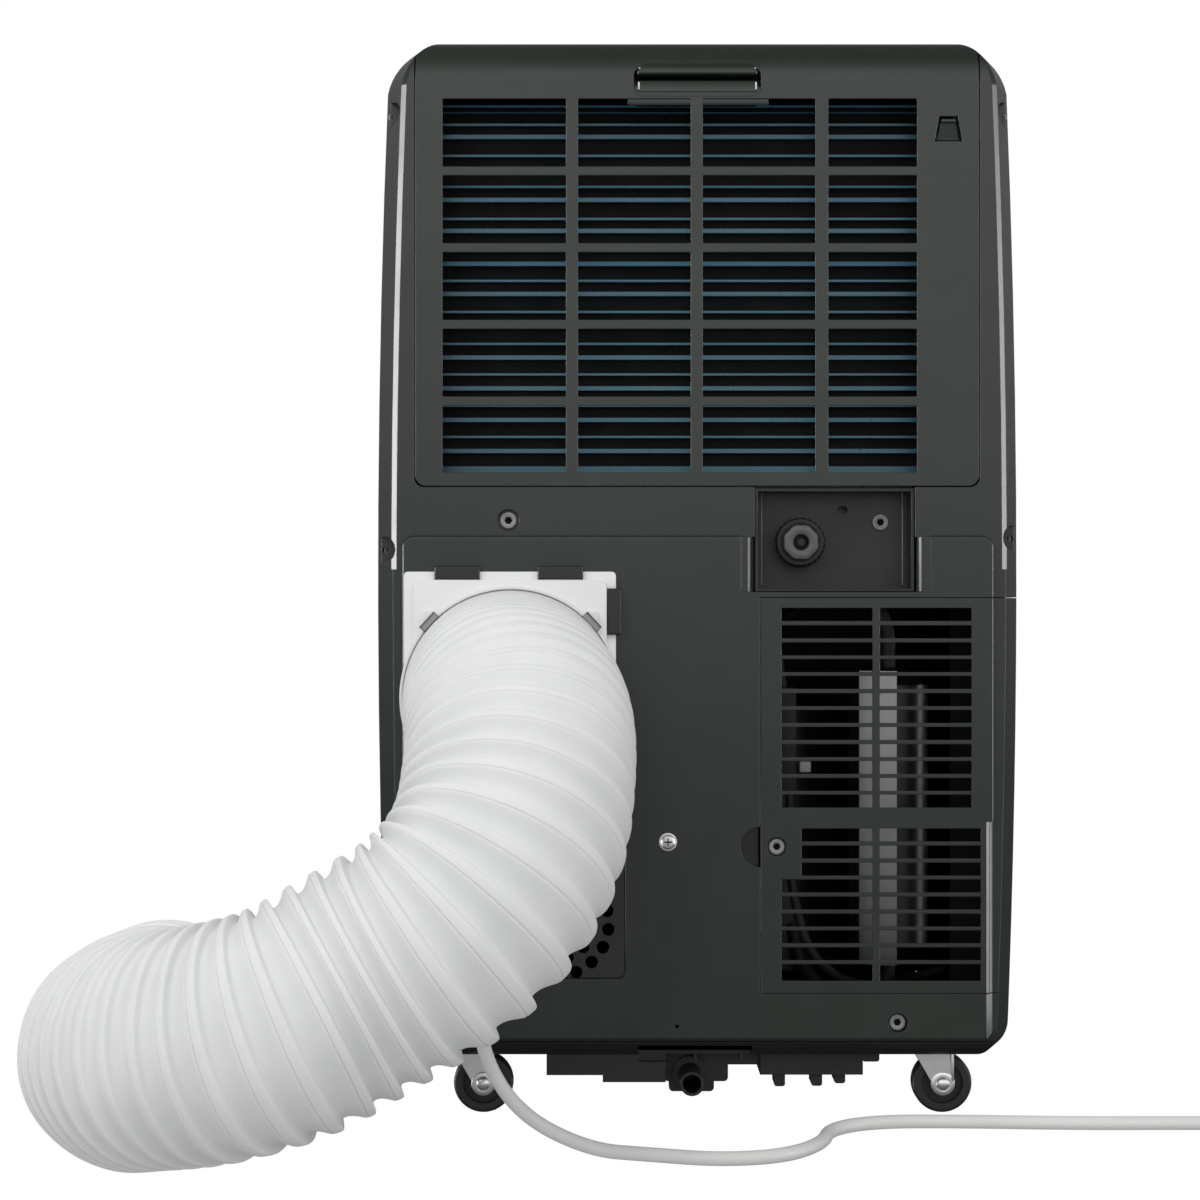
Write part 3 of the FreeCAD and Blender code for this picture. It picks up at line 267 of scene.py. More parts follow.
for n in NODES:
    m = CASE
    if n in ("base_pan", "drain_spout"): m = BASEM
    elif n in ("drain_recess_panel", "drain_cap", "vent_panel", "adapter_clips", "vane_1", "vane_2", "vane_3", "vane_4", "vane_link"): m = DARK
    elif n == "top_cover": m = TOPM
    elif n == "control_panel": m = GLOSS
    elif n in ("power_button", "mode_button", "fan_button", "timer_button", "temp_rocker"): m = BUTTON
    elif n in ("mid_deck", "room_air_scroll", "exhaust_scroll", "electronics_box"): m = SCROLL
    elif n in ("room_fan_wheel", "exhaust_fan_wheel"): m = FAN
    elif n in ("room_fan_motor", "exhaust_fan_motor"): m = MOTORM
    elif n == "accumulator": m = BLACKP
    elif n == "compressor": m = BLACKP
    elif n in ("compressor_grommets", "drain_seal"): m = RUB
    elif n == "refrigerant_pipes": m = SLEEVE
    elif n == "filter_mesh": m = MESHM
    elif n == "evaporator_coil": m = ALU
    elif n == "condenser_coil": m = FINS
    elif n in ("case_screws", "earth_screw", "cover_screw"): m = ZINC
    elif n.startswith("caster_fork"): m = CHROME
    elif n.startswith("caster_wheel"): m = WHEELM
    elif n in ("duct_adapter", "duct_end_collar"): m = WHITE
    elif n in ("cord_gland", "power_cord", "power_cord_coil", "power_plug"): m = CORDM
    elif n == "filter_frame": m = BLUE
    assign(n, m)

mw = M("display_window_glass")
mw.color(lin("#08090a"), lin("#0c0d0e"), mw.noise(20.0))
mw.rough(0.05, 0.09, mw.noise(80.0))
mw.set(IOR=1.5)
mw.b.inputs["Coat Weight"].default_value = 0.6
assign("display_window", mw.m)

# ------------------------------------------------------------------ helpers for detailed pieces
def smooth_mesh(me, angle=0.6):
    me.polygons.foreach_set("use_smooth", [True] * len(me.polygons))
    bm = bmesh.new()
    bm.from_mesh(me)
    for e in bm.edges:
        if len(e.link_faces) == 2 and e.calc_face_angle(0) > angle:
            e.smooth = False
    bm.to_mesh(me)
    bm.free()

def add(name, bm_or_me, mat, body, repl=(), angle=0.6):
    if isinstance(bm_or_me, bmesh.types.BMesh):
        me = bpy.data.meshes.new(name)
        bmesh.ops.recalc_face_normals(bm_or_me, faces=bm_or_me.faces)
        bm_or_me.to_mesh(me)
        bm_or_me.free()
    else:
        me = bm_or_me
    if angle:
        smooth_mesh(me, angle)
    o = bpy.data.objects.new(name, me)
    SC.collection.objects.link(o)
    me.materials.append(mat)
    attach(o, body)
    if repl:
        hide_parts(*repl)
    return o

def frame_at(axis, up=None):
    """A matrix whose Z runs along axis."""
    z = Vector(axis).normalized()
    u = Vector(up) if up else (Vector((0, 0, 1)) if abs(z.z) < 0.9 else Vector((1, 0, 0)))
    x = u.cross(z).normalized()
    y = z.cross(x)
    return Matrix((x, y, z)).transposed()

def lathe(bm, c, axis, prof, n=48, close=False, up=None, a0=0.0, a1=360.0):
    """Revolves (radius, height) pairs about an axis through c."""
    R, c = frame_at(axis, up), Vector(c)
    full = abs(a1 - a0) >= 359.9
    cols = n if full else n + 1
    rings = []
    for r, h in prof:
        if r < 1e-7:
            rings.append([bm.verts.new(c + R @ Vector((0, 0, h)))])
            continue
        ring = []
        for i in range(cols):
            a = math.radians(a0 + (a1 - a0) * i / n)
            ring.append(bm.verts.new(c + R @ Vector((r * math.cos(a), r * math.sin(a), h))))
        rings.append(ring)
    pairs = list(zip(rings, rings[1:])) + ([(rings[-1], rings[0])] if close else [])
    for p, q in pairs:
        k = max(len(p), len(q))
        for i in range(k if full else k - 1):
            j = (i + 1) % k
            vs = []
            for v in (p[i % len(p)], p[j % len(p)], q[j % len(q)], q[i % len(q)]):
                if v not in vs:
                    vs.append(v)
            if len(vs) > 2:
                try:
                    bm.faces.new(vs)
                except ValueError:
                    pass
    return rings

def block(bm, x0, x1, y0, y1, z0, z1, bev=0.0, seg=2):
    b2 = bmesh.new()
    bmesh.ops.create_cube(b2, size=1.0)
    for v in b2.verts:
        v.co = Vector(((x0 + x1) / 2 + v.co.x * (x1 - x0), (y0 + y1) / 2 + v.co.y * (y1 - y0), (z0 + z1) / 2 + v.co.z * (z1 - z0)))
    if bev:
        bmesh.ops.bevel(b2, geom=list(b2.edges), offset=bev, segments=seg, profile=0.5, affect="EDGES")
    tmp = bpy.data.meshes.new("tmp")
    b2.to_mesh(tmp)
    b2.free()
    bm.from_mesh(tmp)
    bpy.data.meshes.remove(tmp)

def spline(name, pts, bevel=0.0, res=12, bres=8, order=3):
    cu = bpy.data.curves.new(name, "CURVE")
    cu.dimensions = "3D"
    s = cu.splines.new("NURBS")
    s.points.add(len(pts) - 1)
    for p, q in zip(s.points, pts):
        p.co = (*q, 1)
    s.order_u = order
    s.use_endpoint_u = True
    s.resolution_u = res
    cu.resolution_u = res
    cu.bevel_depth = bevel
    cu.bevel_resolution = bres
    o = bpy.data.objects.new(name, cu)
    SC.collection.objects.link(o)
    return o

def read_line(obj):
    """The points that a curve without bevel follows."""
    me = bpy.data.meshes.new_from_object(obj)
    p = [v.co.copy() for v in me.vertices]
    bpy.data.meshes.remove(me)
    return p

# ------------------------------------------------------------------ mains lead
CORD_D = 0.0094
CORD = [(0.147, 0.199, 0.1025), (0.147, 0.246, 0.1025), (0.1465, 0.285, 0.070), (0.122, 0.286, 0.0290), (0.076, 0.284, 0.0052),
        (0.036, 0.297, 0.0048), (-0.006, 0.313, 0.0048), (-0.050, 0.302, 0.0048), (-0.078, 0.260, 0.0048),
        (-0.086, 0.211, 0.0048), (-0.121, 0.184, 0.0048), (-0.180, 0.184, 0.0048), (-0.262, 0.191, 0.0048),
        (-0.348, 0.189, 0.0048), (-0.400, 0.1955, 0.0048)]
COIL = []
for k in range(0, 45):
    ang = 84.0 + 24.45 * k
    r = 0.0530 + 0.0010 * max(0.0, 1 - k / 3)
    COIL.append((-0.424 + r * math.cos(math.radians(ang)), 0.142 + r * math.sin(math.radians(ang)), 0.0048 + 0.0296 * k / 44))
TAIL = [(-0.4345, 0.1972, 0.0346), (-0.456, 0.2020, 0.0262), (-0.479, 0.206, 0.019)]
lead_pts = CORD + COIL + TAIL
probe = spline("probe", lead_pts)
line = read_line(probe)
lead_len = sum((b - a).length for a, b in zip(line, line[1:]))
bpy.data.objects.remove(probe)
print("lead length %.3f" % lead_len)
lead = spline("mains_lead", lead_pts, CORD_D / 2, 12, 8)
lead.data.use_fill_caps = True
lead.data.materials.append(CORDM)
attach(lead, "cabinet")
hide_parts("power_cord", "power_cord_coil")

# moulded plug: ribbed strain relief, body with a grip and two round pins
bm = bmesh.new()
prof = [(0.0047, -0.002), (0.0056, -0.001), (0.0060, 0.0)]
h = 0.0
for k in range(6):
    r = 0.0064 + 0.0009 * k
    prof += [(r, h + 0.0006), (r, h + 0.0022), (r - 0.0011, h + 0.0026), (r - 0.0011, h + 0.0034)]
    h += 0.0036
prof += [(0.0122, h + 0.0006), (0.0140, h + 0.0024), (0.0165, h + 0.0036), (0.0183, h + 0.0060), (0.0185, h + 0.0085)]
prof += [(0.0185, 0.0455), (0.0180, 0.0470), (0.0170, 0.0480), (0.0, 0.0480)]
lathe(bm, (-0.4808, 0.206, 0.019), (-1, 0, 0), prof, 48)
plug = add("mains_plug", bm, CORDM, "cabinet", ["power_plug"])
bm = bmesh.new()
for s in (1, -1):
    lathe(bm, (-0.5285, 0.206 + s * 0.0095, 0.019), (-1, 0, 0), [(0.0, -0.001), (0.0024, -0.001), (0.0024, 0.0175), (0.0019, 0.0188), (0.0, 0.019)], 24)
pins = add("plug_pins", bm, CHROME, "cabinet", [])

# tapered strain relief at the cabinet, with ring grooves
bm = bmesh.new()
prof = [(0.0, -0.0002), (0.0128, -0.0002), (0.0130, 0.0004), (0.0130, 0.0028), (0.0124, 0.0035), (0.0098, 0.0036), (0.0095, 0.0042)]
h = 0.0050
for k in range(5):
    r = 0.0093 - 0.0006 * k
    prof += [(r, h), (r, h + 0.0024), (r - 0.0013, h + 0.0029), (r - 0.0013, h + 0.0040)]
    h += 0.0046
prof += [(0.0064, h), (0.0062, 0.0283), (0.0049, 0.0288), (0.0046, 0.0280)]
lathe(bm, (0.147, 0.1705, 0.1025), (0, 1, 0), prof, 40)
gland = add("cord_strain_relief", bm, CORDM, "cabinet", ["cord_gland"])

# ------------------------------------------------------------------ exhaust hose
DUCT = [(0.1300, 0.1846, 0.2950), (0.1271, 0.2631, 0.2958), (0.1160, 0.3363, 0.2691), (0.1244, 0.3898, 0.2101),
        (0.1544, 0.4090, 0.1658), (0.2096, 0.4092, 0.1324), (0.2695, 0.4232, 0.1017), (0.3404, 0.3929, 0.0866),
        (0.3706, 0.3215, 0.0739), (0.3610, 0.2461, 0.0739)]
probe = spline("probe", DUCT, res=40)
raw = read_line(probe)
bpy.data.objects.remove(probe)
cum = [0.0]
for a, b in zip(raw, raw[1:]):
    cum.append(cum[-1] + (b - a).length)
DL = cum[-1]
raw_np, cum_np = np.array([list(p) for p in raw]), np.array(cum)
def at(s):
    return Vector([float(np.interp(s, cum_np, raw_np[:, k])) for k in range(3)])
# smoothed frames carried along the line
NS = 800
S = np.linspace(0, DL, NS)
P = np.stack([np.interp(S, cum_np, raw_np[:, k]) for k in range(3)], 1)
ker = np.hanning(41)
ker /= ker.sum()
T = np.gradient(P, S, axis=0)
pad = np.concatenate([np.repeat(T[:1], 20, 0), T, np.repeat(T[-1:], 20, 0)])
T = np.stack([np.convolve(pad[:, k], ker, "valid") for k in range(3)], 1)
T /= np.linalg.norm(T, axis=1)[:, None]
kap = np.linalg.norm(np.gradient(T, S, axis=0), axis=1)
print("hose length %.3f, least bend radius %.3f" % (DL, 1 / kap.max()))
U = np.zeros_like(P)
u = np.cross(T[0], [0, 0, 1.0])
u /= np.linalg.norm(u)
for i in range(NS):
    u = u - T[i] * np.dot(u, T[i])
    u /= np.linalg.norm(u)
    U[i] = u
W = np.cross(T, U)

def pitch(s):
    """Distance from pleat to pleat: pushed together at both ends, drawn out between them."""
    return float(np.interp(s / DL, [0.0, 0.08, 0.18, 0.30, 0.42, 0.55, 0.68, 0.78, 0.87, 1.0],
                           [0.0062, 0.0070, 0.0110, 0.0162, 0.0192, 0.0186, 0.0150, 0.0112, 0.0075, 0.0062]))

rng = np.random.default_rng(7)
edges_s = [0.004]
while edges_s[-1] < DL - 0.006:
    edges_s.append(edges_s[-1] + pitch(edges_s[-1]) * float(rng.uniform(0.93, 1.07)))
edges_s = [0.004 + (e - 0.004) * (DL - 0.008) / (edges_s[-1] - 0.004) for e in edges_s]
R_OUT = 0.0735
rows = [(0.0, 0.0718), (0.003, 0.0720)]
PLEAT = ((0.0, 0.75), (0.02, 0.28), (0.045, 0.07), (0.09, 0.0), (0.18, 0.0), (0.27, 0.03), (0.300, 0.05), (0.312, 0.17), (0.325, 0.06),
         (0.38, 0.14), (0.46, 0.34), (0.56, 0.58), (0.66, 0.79), (0.76, 0.93), (0.86, 1.0), (0.93, 1.0), (0.975, 0.93))
for a, b in zip(edges_s, edges_s[1:]):
    p = b - a
    # each pleat is a raised band with a fine moulded line, then a hollow that tucks in under the next band
    deep = float(np.interp(p, [0.0062, 0.0085, 0.011, 0.0145, 0.0178], [0.0005, 0.0014, 0.0032, 0.0056, 0.0072]))
    for t, f in PLEAT:
        rows.append((a + t * p, R_OUT - deep * f))
rows += [(DL - 0.004, 0.0712), (DL + 0.0006, 0.0705)]
NA = 112
WALL_T = 0.0009
verts, faces = [], []
# low waves that a soft hose takes up round its girth
def wav(s, a):
    return 0.0005 * math.sin(2 * a + 9.0 * s / DL) + 0.0004 * math.sin(3 * a - 23.0 * s / DL + 1.0) + 0.0003 * math.sin(5 * a + 51.0 * s / DL)
for layer in (0, 1):
    for s, r in rows:
        ss = min(max(s, 0), DL)
        i = ss / DL * (NS - 1)
        k = min(int(i), NS - 2)
        f = i - k
        c = P[k] * (1 - f) + P[k + 1] * f
        c = c + T[k] * (s - ss)
        uu = U[k] * (1 - f) + U[k + 1] * f
        ww = W[k] * (1 - f) + W[k + 1] * f
        fade = min(1.0, s / 0.03, max(0.0, (DL - s)) / 0.03)
        for j in range(NA):
            a = 2 * math.pi * j / NA
            q = r - layer * WALL_T + (wav(s, a) - 0.0007) * fade
            verts.append(tuple(c + uu * (q * math.cos(a)) + ww * (q * math.sin(a))))
nr = len(rows)
for i in range(nr - 1):
    for j in range(NA):
        k = (j + 1) % NA
        a, b, c2, d = i * NA + j, i * NA + k, (i + 1) * NA + k, (i + 1) * NA + j
        faces.append((a, b, c2, d))
        o = nr * NA
        faces.append((o + a, o + d, o + c2, o + b))
for j in range(NA):
    k = (j + 1) % NA
    faces.append((j, nr * NA + j, nr * NA + k, k))
    e = (nr - 1) * NA
    faces.append((e + j, e + k, nr * NA + e + k, nr * NA + e + j))
me = bpy.data.meshes.new("exhaust_hose")
me.from_pydata(verts, [], faces)
me.polygons.foreach_set("use_smooth", [True] * len(me.polygons))

mh = M("hose_plastic")
mh.color((0.71, 0.72, 0.72), (0.76, 0.77, 0.765), mh.noise(18.0, 4.0, 0.6))
mh.rough(0.56, 0.66, mh.noise(60.0, 4.0, 0.6))
mh.b.inputs["Specular IOR Level"].default_value = 0.22
mh.bump(mh.noise(260.0, 3.0, 0.6), 0.25, 0.0003)
mh.b.inputs["Subsurface Weight"].default_value = 0.12
mh.b.inputs["Subsurface Radius"].default_value = (0.006, 0.006, 0.006)
mh.b.inputs["IOR"].default_value = 1.5
hose = add("exhaust_hose", me, mh.m, "exhaust_adapter", ["duct_hose"], angle=0)

# end collar with a lip and two beads
ed = Vector(DUCT[-1]) - Vector(DUCT[-2])
bm = bmesh.new()
lathe(bm, DUCT[-1], ed, [(0.0688, 0.0), (0.0700, -0.004), (0.0718, -0.004), (0.0722, 0.0), (0.0722, 0.0045), (0.0735, 0.0052), (0.0735, 0.0078),
                         (0.0722, 0.0085), (0.0722, 0.0150), (0.0732, 0.0155), (0.0732, 0.0170), (0.0722, 0.0175), (0.0722, 0.0200),
                         (0.0735, 0.0208), (0.0735, 0.0236), (0.0729, 0.0240), (0.0690, 0.0240), (0.0685, 0.0236), (0.0685, 0.0002)], 96, close=True)
add("hose_end_collar", bm, WHITE, "exhaust_adapter", ["duct_end_collar"])

# ------------------------------------------------------------------ screws
def rings_of(bm, c, axis, rows, n=48, up=None):
    """Like lathe, but a radius may be a function of the angle."""
    R, c = frame_at(axis, up), Vector(c)
    rings = []
    for r, h in rows:
        ring = []
        for i in range(n):
            a = 2 * math.pi * i / n
            q = r(a) if callable(r) else r
            ring.append(bm.verts.new(c + R @ Vector((q * math.cos(a), q * math.sin(a), h))))
        rings.append(ring)
    for p, q in zip(rings, rings[1:]):
        for i in range(n):
            j = (i + 1) % n
            bm.faces.new((p[i], p[j], q[j], q[i]))
    bm.faces.new(rings[0])
    bm.faces.new(rings[-1])

def hexagon(r):
    return lambda a: r * math.cos(math.pi / 6) / math.cos((a % (math.pi / 3)) - math.pi / 6)

def socket_head(bm, dark, x, y, z, r, h=0.0026):
    k = 0.50 * r
    rings_of(bm, (x, y, z), (0, 1, 0), [(0.0019, -0.004), (0.0019, 0.0), (r, 0.0), (r, h - 0.0005), (r - 0.0003, h - 0.0001), (r - 0.0007, h),
                                         (0.74 * r, h), (0.60 * r, h - 0.0005), (hexagon(k), h - 0.0007), (hexagon(k), h - 0.0012), (0.0004, h - 0.0012)])
    # painted shade: a near-black insert fills the hex socket
    rings_of(dark, (x, y + h - 0.0011, z), (0, 1, 0), [(hexagon(k - 0.0001), -0.0004), (hexagon(k - 0.0001), 0.0004), (hexagon(0.62 * k), 0.0), (0.0003, 0.0)])

screwm = plastic("screw_steel", (0.19, 0.195, 0.19), (0.26, 0.265, 0.26), 0.34, 0.44, 500.0, 0.00002, 0.15, 0.0, 0.9)
SOCK = plastic("socket_shadow", (0.002, 0.002, 0.002), (0.003, 0.003, 0.003), 0.6, 0.7, 400.0, 0.00001, 0.1, 0.0, 0.1)
bm, dk = bmesh.new(), bmesh.new()
for x, z in ((0.2140, 0.7015), (-0.2140, 0.7015), (0.2172, 0.397), (-0.2172, 0.405)):
    socket_head(bm, dk, x, 0.1300, z, 0.0037)
    xx = math.copysign(abs(x) - 0.0018, x)
    # painted shade: a near-black disc in the pocket round each corner screw
    rings_of(dk, (xx, 0.1300, z), (0, 1, 0), [(0.0058, 0.0), (0.0058, 0.0006), (0.0003, 0.0006)])
socket_head(bm, dk, 0.1322, 0.1601, 0.4172, 0.0057)
socket_head(bm, dk, -0.1369, 0.1641, 0.0700, 0.0055)
socket_head(bm, dk, -0.1280, 0.1371, 0.4165, 0.0055)
add("socket_screws", bm, screwm, "cabinet", ["case_screws"], angle=0.5)
add("socket_screw_holes", dk, SOCK, "cabinet", [], angle=0.5)
bm, dk = bmesh.new(), bmesh.new()
socket_head(bm, dk, -0.0534, 0.1658, 0.1916, 0.0054)
add("cover_socket_screw", bm, screwm, "condenser_cover", ["cover_screw"], angle=0.5)
add("cover_screw_hole", dk, SOCK, "condenser_cover", [], angle=0.5)

# cross-head earth screw on its washer
def cross(a):
    best = 0.0007
    for k in range(4):
        d = abs((a - k * math.pi / 2 + math.pi) % (2 * math.pi) - math.pi)
        if d < 0.5:
            best = max(best, min(0.0026, 0.00055 / max(math.sin(d), 0.2116)))
    return best
bm = bmesh.new()
rings_of(bm, (0.0218, 0.17005, 0.195), (0, 1, 0), [(0.0019, -0.005), (0.0019, 0.0), (0.0062, 0.0), (0.0062, 0.0005), (0.0052, 0.0006), (0.0051, 0.0012), (0.0042, 0.0022),
                                                    (0.0032, 0.0026), (cross, 0.00255), (cross, 0.0012), (0.0003, 0.0010)], 96)
earthm = metal("earth_zinc", (0.74, 0.74, 0.73), (0.86, 0.86, 0.85), 0.42, 0.55)
# painted shade: a near-black insert fills the cross recess
dk = bmesh.new()
rings_of(dk, (0.0218, 0.17005, 0.195), (0, 1, 0), [(cross, 0.0010), (cross, 0.00215), (0.0002, 0.0020)], 96)
add("earth_cross", dk, SOCK, "cabinet", [], angle=0.5)
add("earth_cross_screw", bm, earthm, "cabinet", ["earth_screw"], angle=0.5)

# ------------------------------------------------------------------ drain plug
BLACKM = plastic("black_plastic", lin("#0c0d0d"), lin("#121313"), 0.34, 0.46)
KNOB = plastic("knob_plastic", lin("#4a4c4b"), lin("#555756"), 0.36, 0.46, bevel=0.0006)
cx, cz = -0.0707, 0.402
bm = bmesh.new()
def scal(r):
    return lambda a: r - 0.0009 * max(0.0, math.cos(24 * a)) ** 2
rings_of(bm, (cx, 0.1487, cz), (0, 1, 0), [(0.0096, -0.0095), (0.0096, 0.0), (scal(0.0166), 0.0), (scal(0.0173), 0.0008), (scal(0.0173), 0.0058), (0.0162, 0.0074),
                                            (0.0150, 0.0078), (0.0128, 0.0070), (0.0110, 0.0070), (0.0060, 0.0070)], 144)
add("drain_plug_disc", bm, BLACKM, "drain_cap", ["drain_cap"], angle=0.7)
def octo(r, q=0.0):
    return lambda a: r * (1 - 0.055 * (1 + math.cos(8 * a + q)) / 2)
bm = bmesh.new()
rings_of(bm, (cx, 0.1487, cz), (0, 1, 0), [(octo(0.0122), 0.0068), (octo(0.0124), 0.0145), (octo(0.0120), 0.0158), (octo(0.0112), 0.0163), (0.0068, 0.0163), (0.0058, 0.0156),
                                            (0.0054, 0.0140), (0.0054, 0.0085), (0.0006, 0.0083)], 96)
add("drain_plug_knob", bm, KNOB, "drain_cap", [], angle=0.7)
bm = bmesh.new()
rings_of(bm, (cx, 0.1487, cz), (0, 1, 0), [(0.0052, 0.0084), (0.0052, 0.0090), (0.0030, 0.0094), (0.0028, 0.0120), (0.0006, 0.0121)], 48)
add("drain_plug_core", bm, BLACKM, "drain_cap", [], angle=0.7)

# ------------------------------------------------------------------ painted highlight strip on the accumulator
bm = bmesh.new()
vs = []
for z in (0.105, 0.312):
    row = []
    for i in range(25):
        a = math.radians(38 + 58.0 * i / 24)
        row.append((-0.137 + 0.02845 * math.cos(a), 0.106 + 0.02845 * math.sin(a), z))
    vs.append([bm.verts.new(p) for p in row])
for i in range(24):
    bm.faces.new((vs[0][i], vs[0][i + 1], vs[1][i + 1], vs[1][i]))
acc_glint = M("painted_highlight_band")
zs = acc_glint.n("ShaderNodeSeparateXYZ")
acc_glint.link(acc_glint.coords(), zs.inputs[0])
# painted highlight: light grey at the top, darker towards the bottom
acc_glint.link(acc_glint.ramp(acc_glint.rng(zs.outputs["Z"], 0.0, 1.0, 0.10, 0.31), [(0.0, (0.05, 0.052, 0.05)), (0.18, (0.16, 0.165, 0.16)), (0.5, (0.34, 0.35, 0.34)), (1.0, (0.46, 0.47, 0.46))]), acc_glint.b.inputs["Base Color"])
acc_glint.rough(0.5, 0.62, acc_glint.noise(90.0))
add("accumulator_painted_highlight", bm, acc_glint.m, "cabinet", [], angle=0)

# ------------------------------------------------------------------ dark sheets that close the seams to light: painted shade where the white backdrop would show through
bm = bmesh.new()
block(bm, -0.2242, -0.190, 0.105, 0.115, 0.36352, 0.36368)
block(bm, -0.2195, -0.185, 0.100, 0.112, 0.3575, 0.3705)
block(bm, -0.190, 0.190, -0.1905, -0.1885, 0.048, 0.066)
add("seam_shade_sheets", bm, SOCK, "cabinet", [], angle=0)

# ------------------------------------------------------------------ grips of the handle pocket
def ray_y(node, x, z):
    o = NODES[node]
    inv = o.matrix_world.inverted()
    ok, p, nrm, _ = o.ray_cast(inv @ Vector((x, 0.4, z)), inv.to_3x3() @ Vector((0, -1, 0)))
    return (o.matrix_world @ p).y if ok else None

def pad_rows(bm, x0, x1, rows, r, seg=6, back=0.010):
    """A pad with quarter-round vertical ends; rows are (z, y of the face, inset of the ends)."""
    rings = []
    for z, y, ins in rows:
        a0, a1 = x0 + ins, x1 - ins
        ring = [(a0, y - back, z)]
        for k in range(seg + 1):
            t = math.pi / 2 * k / seg
            ring.append((a0 + r - r * math.cos(t), y - r + r * math.sin(t), z))
        for k in range(seg + 1):
            t = math.pi / 2 * (1 - k / seg)
            ring.append((a1 - r + r * math.cos(t), y - r + r * math.sin(t), z))
        ring.append((a1, y - back, z))
        rings.append([bm.verts.new(p) for p in ring])
    for a, b in zip(rings, rings[1:]):
        for i in range(len(a)):
            j = (i + 1) % len(a)
            bm.faces.new((a[i], a[j], b[j], b[i]))
    bm.faces.new(rings[0])
    bm.faces.new(rings[-1])

GRIP = plastic("grip_plastic", (0.0155, 0.0225, 0.0170), (0.0185, 0.0265, 0.0200), 0.16, 0.22, 900.0, 0.00002, 0.1, 0.0)
ys = [(z, ray_y("filter_cover", 0.062, z)) for z in (0.7258, 0.7275, 0.7295, 0.7312, 0.7326, 0.7338)]
print("cover profile", [(z, round(y, 4)) for z, y in ys if y])
bm = bmesh.new()
n = len(ys)
rows = [(0.7258, ys[0][1] - 0.0010, 0.0006), (0.7261, ys[0][1] + 0.0004, 0.0)]
rows += [(z, y + 0.0011 - (0.0 if k < n - 2 else 0.0004 * (k - n + 3)), max(0.0, (k - 2) * 0.0013)) for k, (z, y) in enumerate(ys) if k]
pad_rows(bm, -0.0405, 0.0431, rows, 0.0022)
add("grip_lip", bm, GRIP, "filter_cover", [], angle=0.9)
bm = bmesh.new()
pad_rows(bm, -0.0405, 0.0431, [(0.7136, 0.1622, 0.0010), (0.7142, 0.1640, 0.0), (0.7210, 0.1640, 0.0), (0.7218, 0.1630, 0.0004)], 0.0020)
add("grip_bar", bm, GRIP, "filter_cover", [], angle=0.9)

# ------------------------------------------------------------------ tab strip under the handle, behind the grid
bm = bmesh.new()
block(bm, -0.0480, 0.0495, 0.1633, 0.1640, 0.7047, 0.7105, 0.0003)
add("filter_tab_strip", bm, CASE, "filter_cover", [], angle=0.5)

# ------------------------------------------------------------------ snap tabs beside the hose
TAB = plastic("tab_plastic", lin("#8f9190"), lin("#9b9d9c"), 0.4, 0.5)
bm = bmesh.new()
for s in (1, -1):
    a = math.radians(90 + s * 47)
    c = Vector((0.130 - 0.0762 * math.cos(a), 0.0, 0.295 + 0.0762 * math.sin(a)))
    c.x = 0.130 + 0.0760 * math.cos(a)
    c.z = 0.295 + 0.0760 * math.sin(a)
    b2 = bmesh.new()
    bmesh.ops.create_cube(b2, size=1.0)
    for v in b2.verts:
        u, w, h = v.co.x * 0.0130, v.co.z * 0.0042, v.co.y * 0.0040
        t = a + math.pi / 2
        v.co = Vector((c.x + u * math.cos(t) + w * math.cos(a), 0.1835 + h, c.z + u * math.sin(t) + w * math.sin(a)))
    bmesh.ops.bevel(b2, geom=list(b2.edges), offset=0.0008, segments=2, profile=0.5, affect="EDGES")
    tmp = bpy.data.meshes.new("tmp")
    b2.to_mesh(tmp)
    b2.free()
    bm.from_mesh(tmp)
    bpy.data.meshes.remove(tmp)
add("hose_snap_tabs", bm, TAB, "exhaust_adapter", [], angle=0.5)

# ------------------------------------------------------------------ caster forks: riveted axle caps and a folded rib on each leg
FORKM = metal("fork_steel", (0.74, 0.74, 0.73), (0.84, 0.84, 0.83), 0.26, 0.36, 250.0, 0.03)
for tag in ("rear_left", "rear_right", "front_left", "front_right"):
    lo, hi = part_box("caster_wheel_" + tag)
    ax_, cy_, az_ = (lo[0] + hi[0]) / 2, (lo[1] + hi[1]) / 2, (lo[2] + hi[2]) / 2
    bm = bmesh.new()
    for s in (1, -1):
        lathe(bm, (ax_, cy_ + s * 0.0110, az_), (0, s, 0), [(0.0, -0.0002), (0.0084, -0.0002), (0.0084, 0.0006), (0.0078, 0.0010), (0.0056, 0.0010), (0.0052, 0.0007), (0.0047, 0.0011),
                                                            (0.0043, 0.0022), (0.0030, 0.0031), (0.0012, 0.0035), (0.0, 0.0035)], 40)
        # folded rib along the leg
        block(bm, ax_ - 0.0078, ax_ - 0.0058, cy_ + s * 0.0116 - 0.0008, cy_ + s * 0.0116 + 0.0008, az_ + 0.002, az_ + 0.0250, 0.0005)
    add("axle_caps_" + tag, bm, FORKM, "fork_" + tag, [], angle=0.6)
    assign("caster_fork_" + tag, FORKM)

# ------------------------------------------------------------------ painted highlights on moulding edges
# painted highlights: pale slivers at the ends of the grip lip and grip bar stand in for glints
GLINT = plastic("painted_glint", (0.60, 0.61, 0.60), (0.66, 0.67, 0.66), 0.3, 0.4, 500.0, 0.00001, 0.1, 0.0)
bm = bmesh.new()
for x in (0.0418, -0.0393):
    block(bm, x - 0.0006, x + 0.0006, 0.1625, 0.16435, 0.7155, 0.7206, 0.0002)
y0 = ray_y("filter_cover", 0.062, 0.7290)
for x, s in ((0.0412, -1), (-0.0387, 1)):
    block(bm, x - 0.0005, x + 0.0005, y0 - 0.0010, y0 + 0.0008, 0.7266, 0.7306, 0.0002)
add("grip_edge_glints", bm, GLINT, "filter_cover", [], angle=0.6)
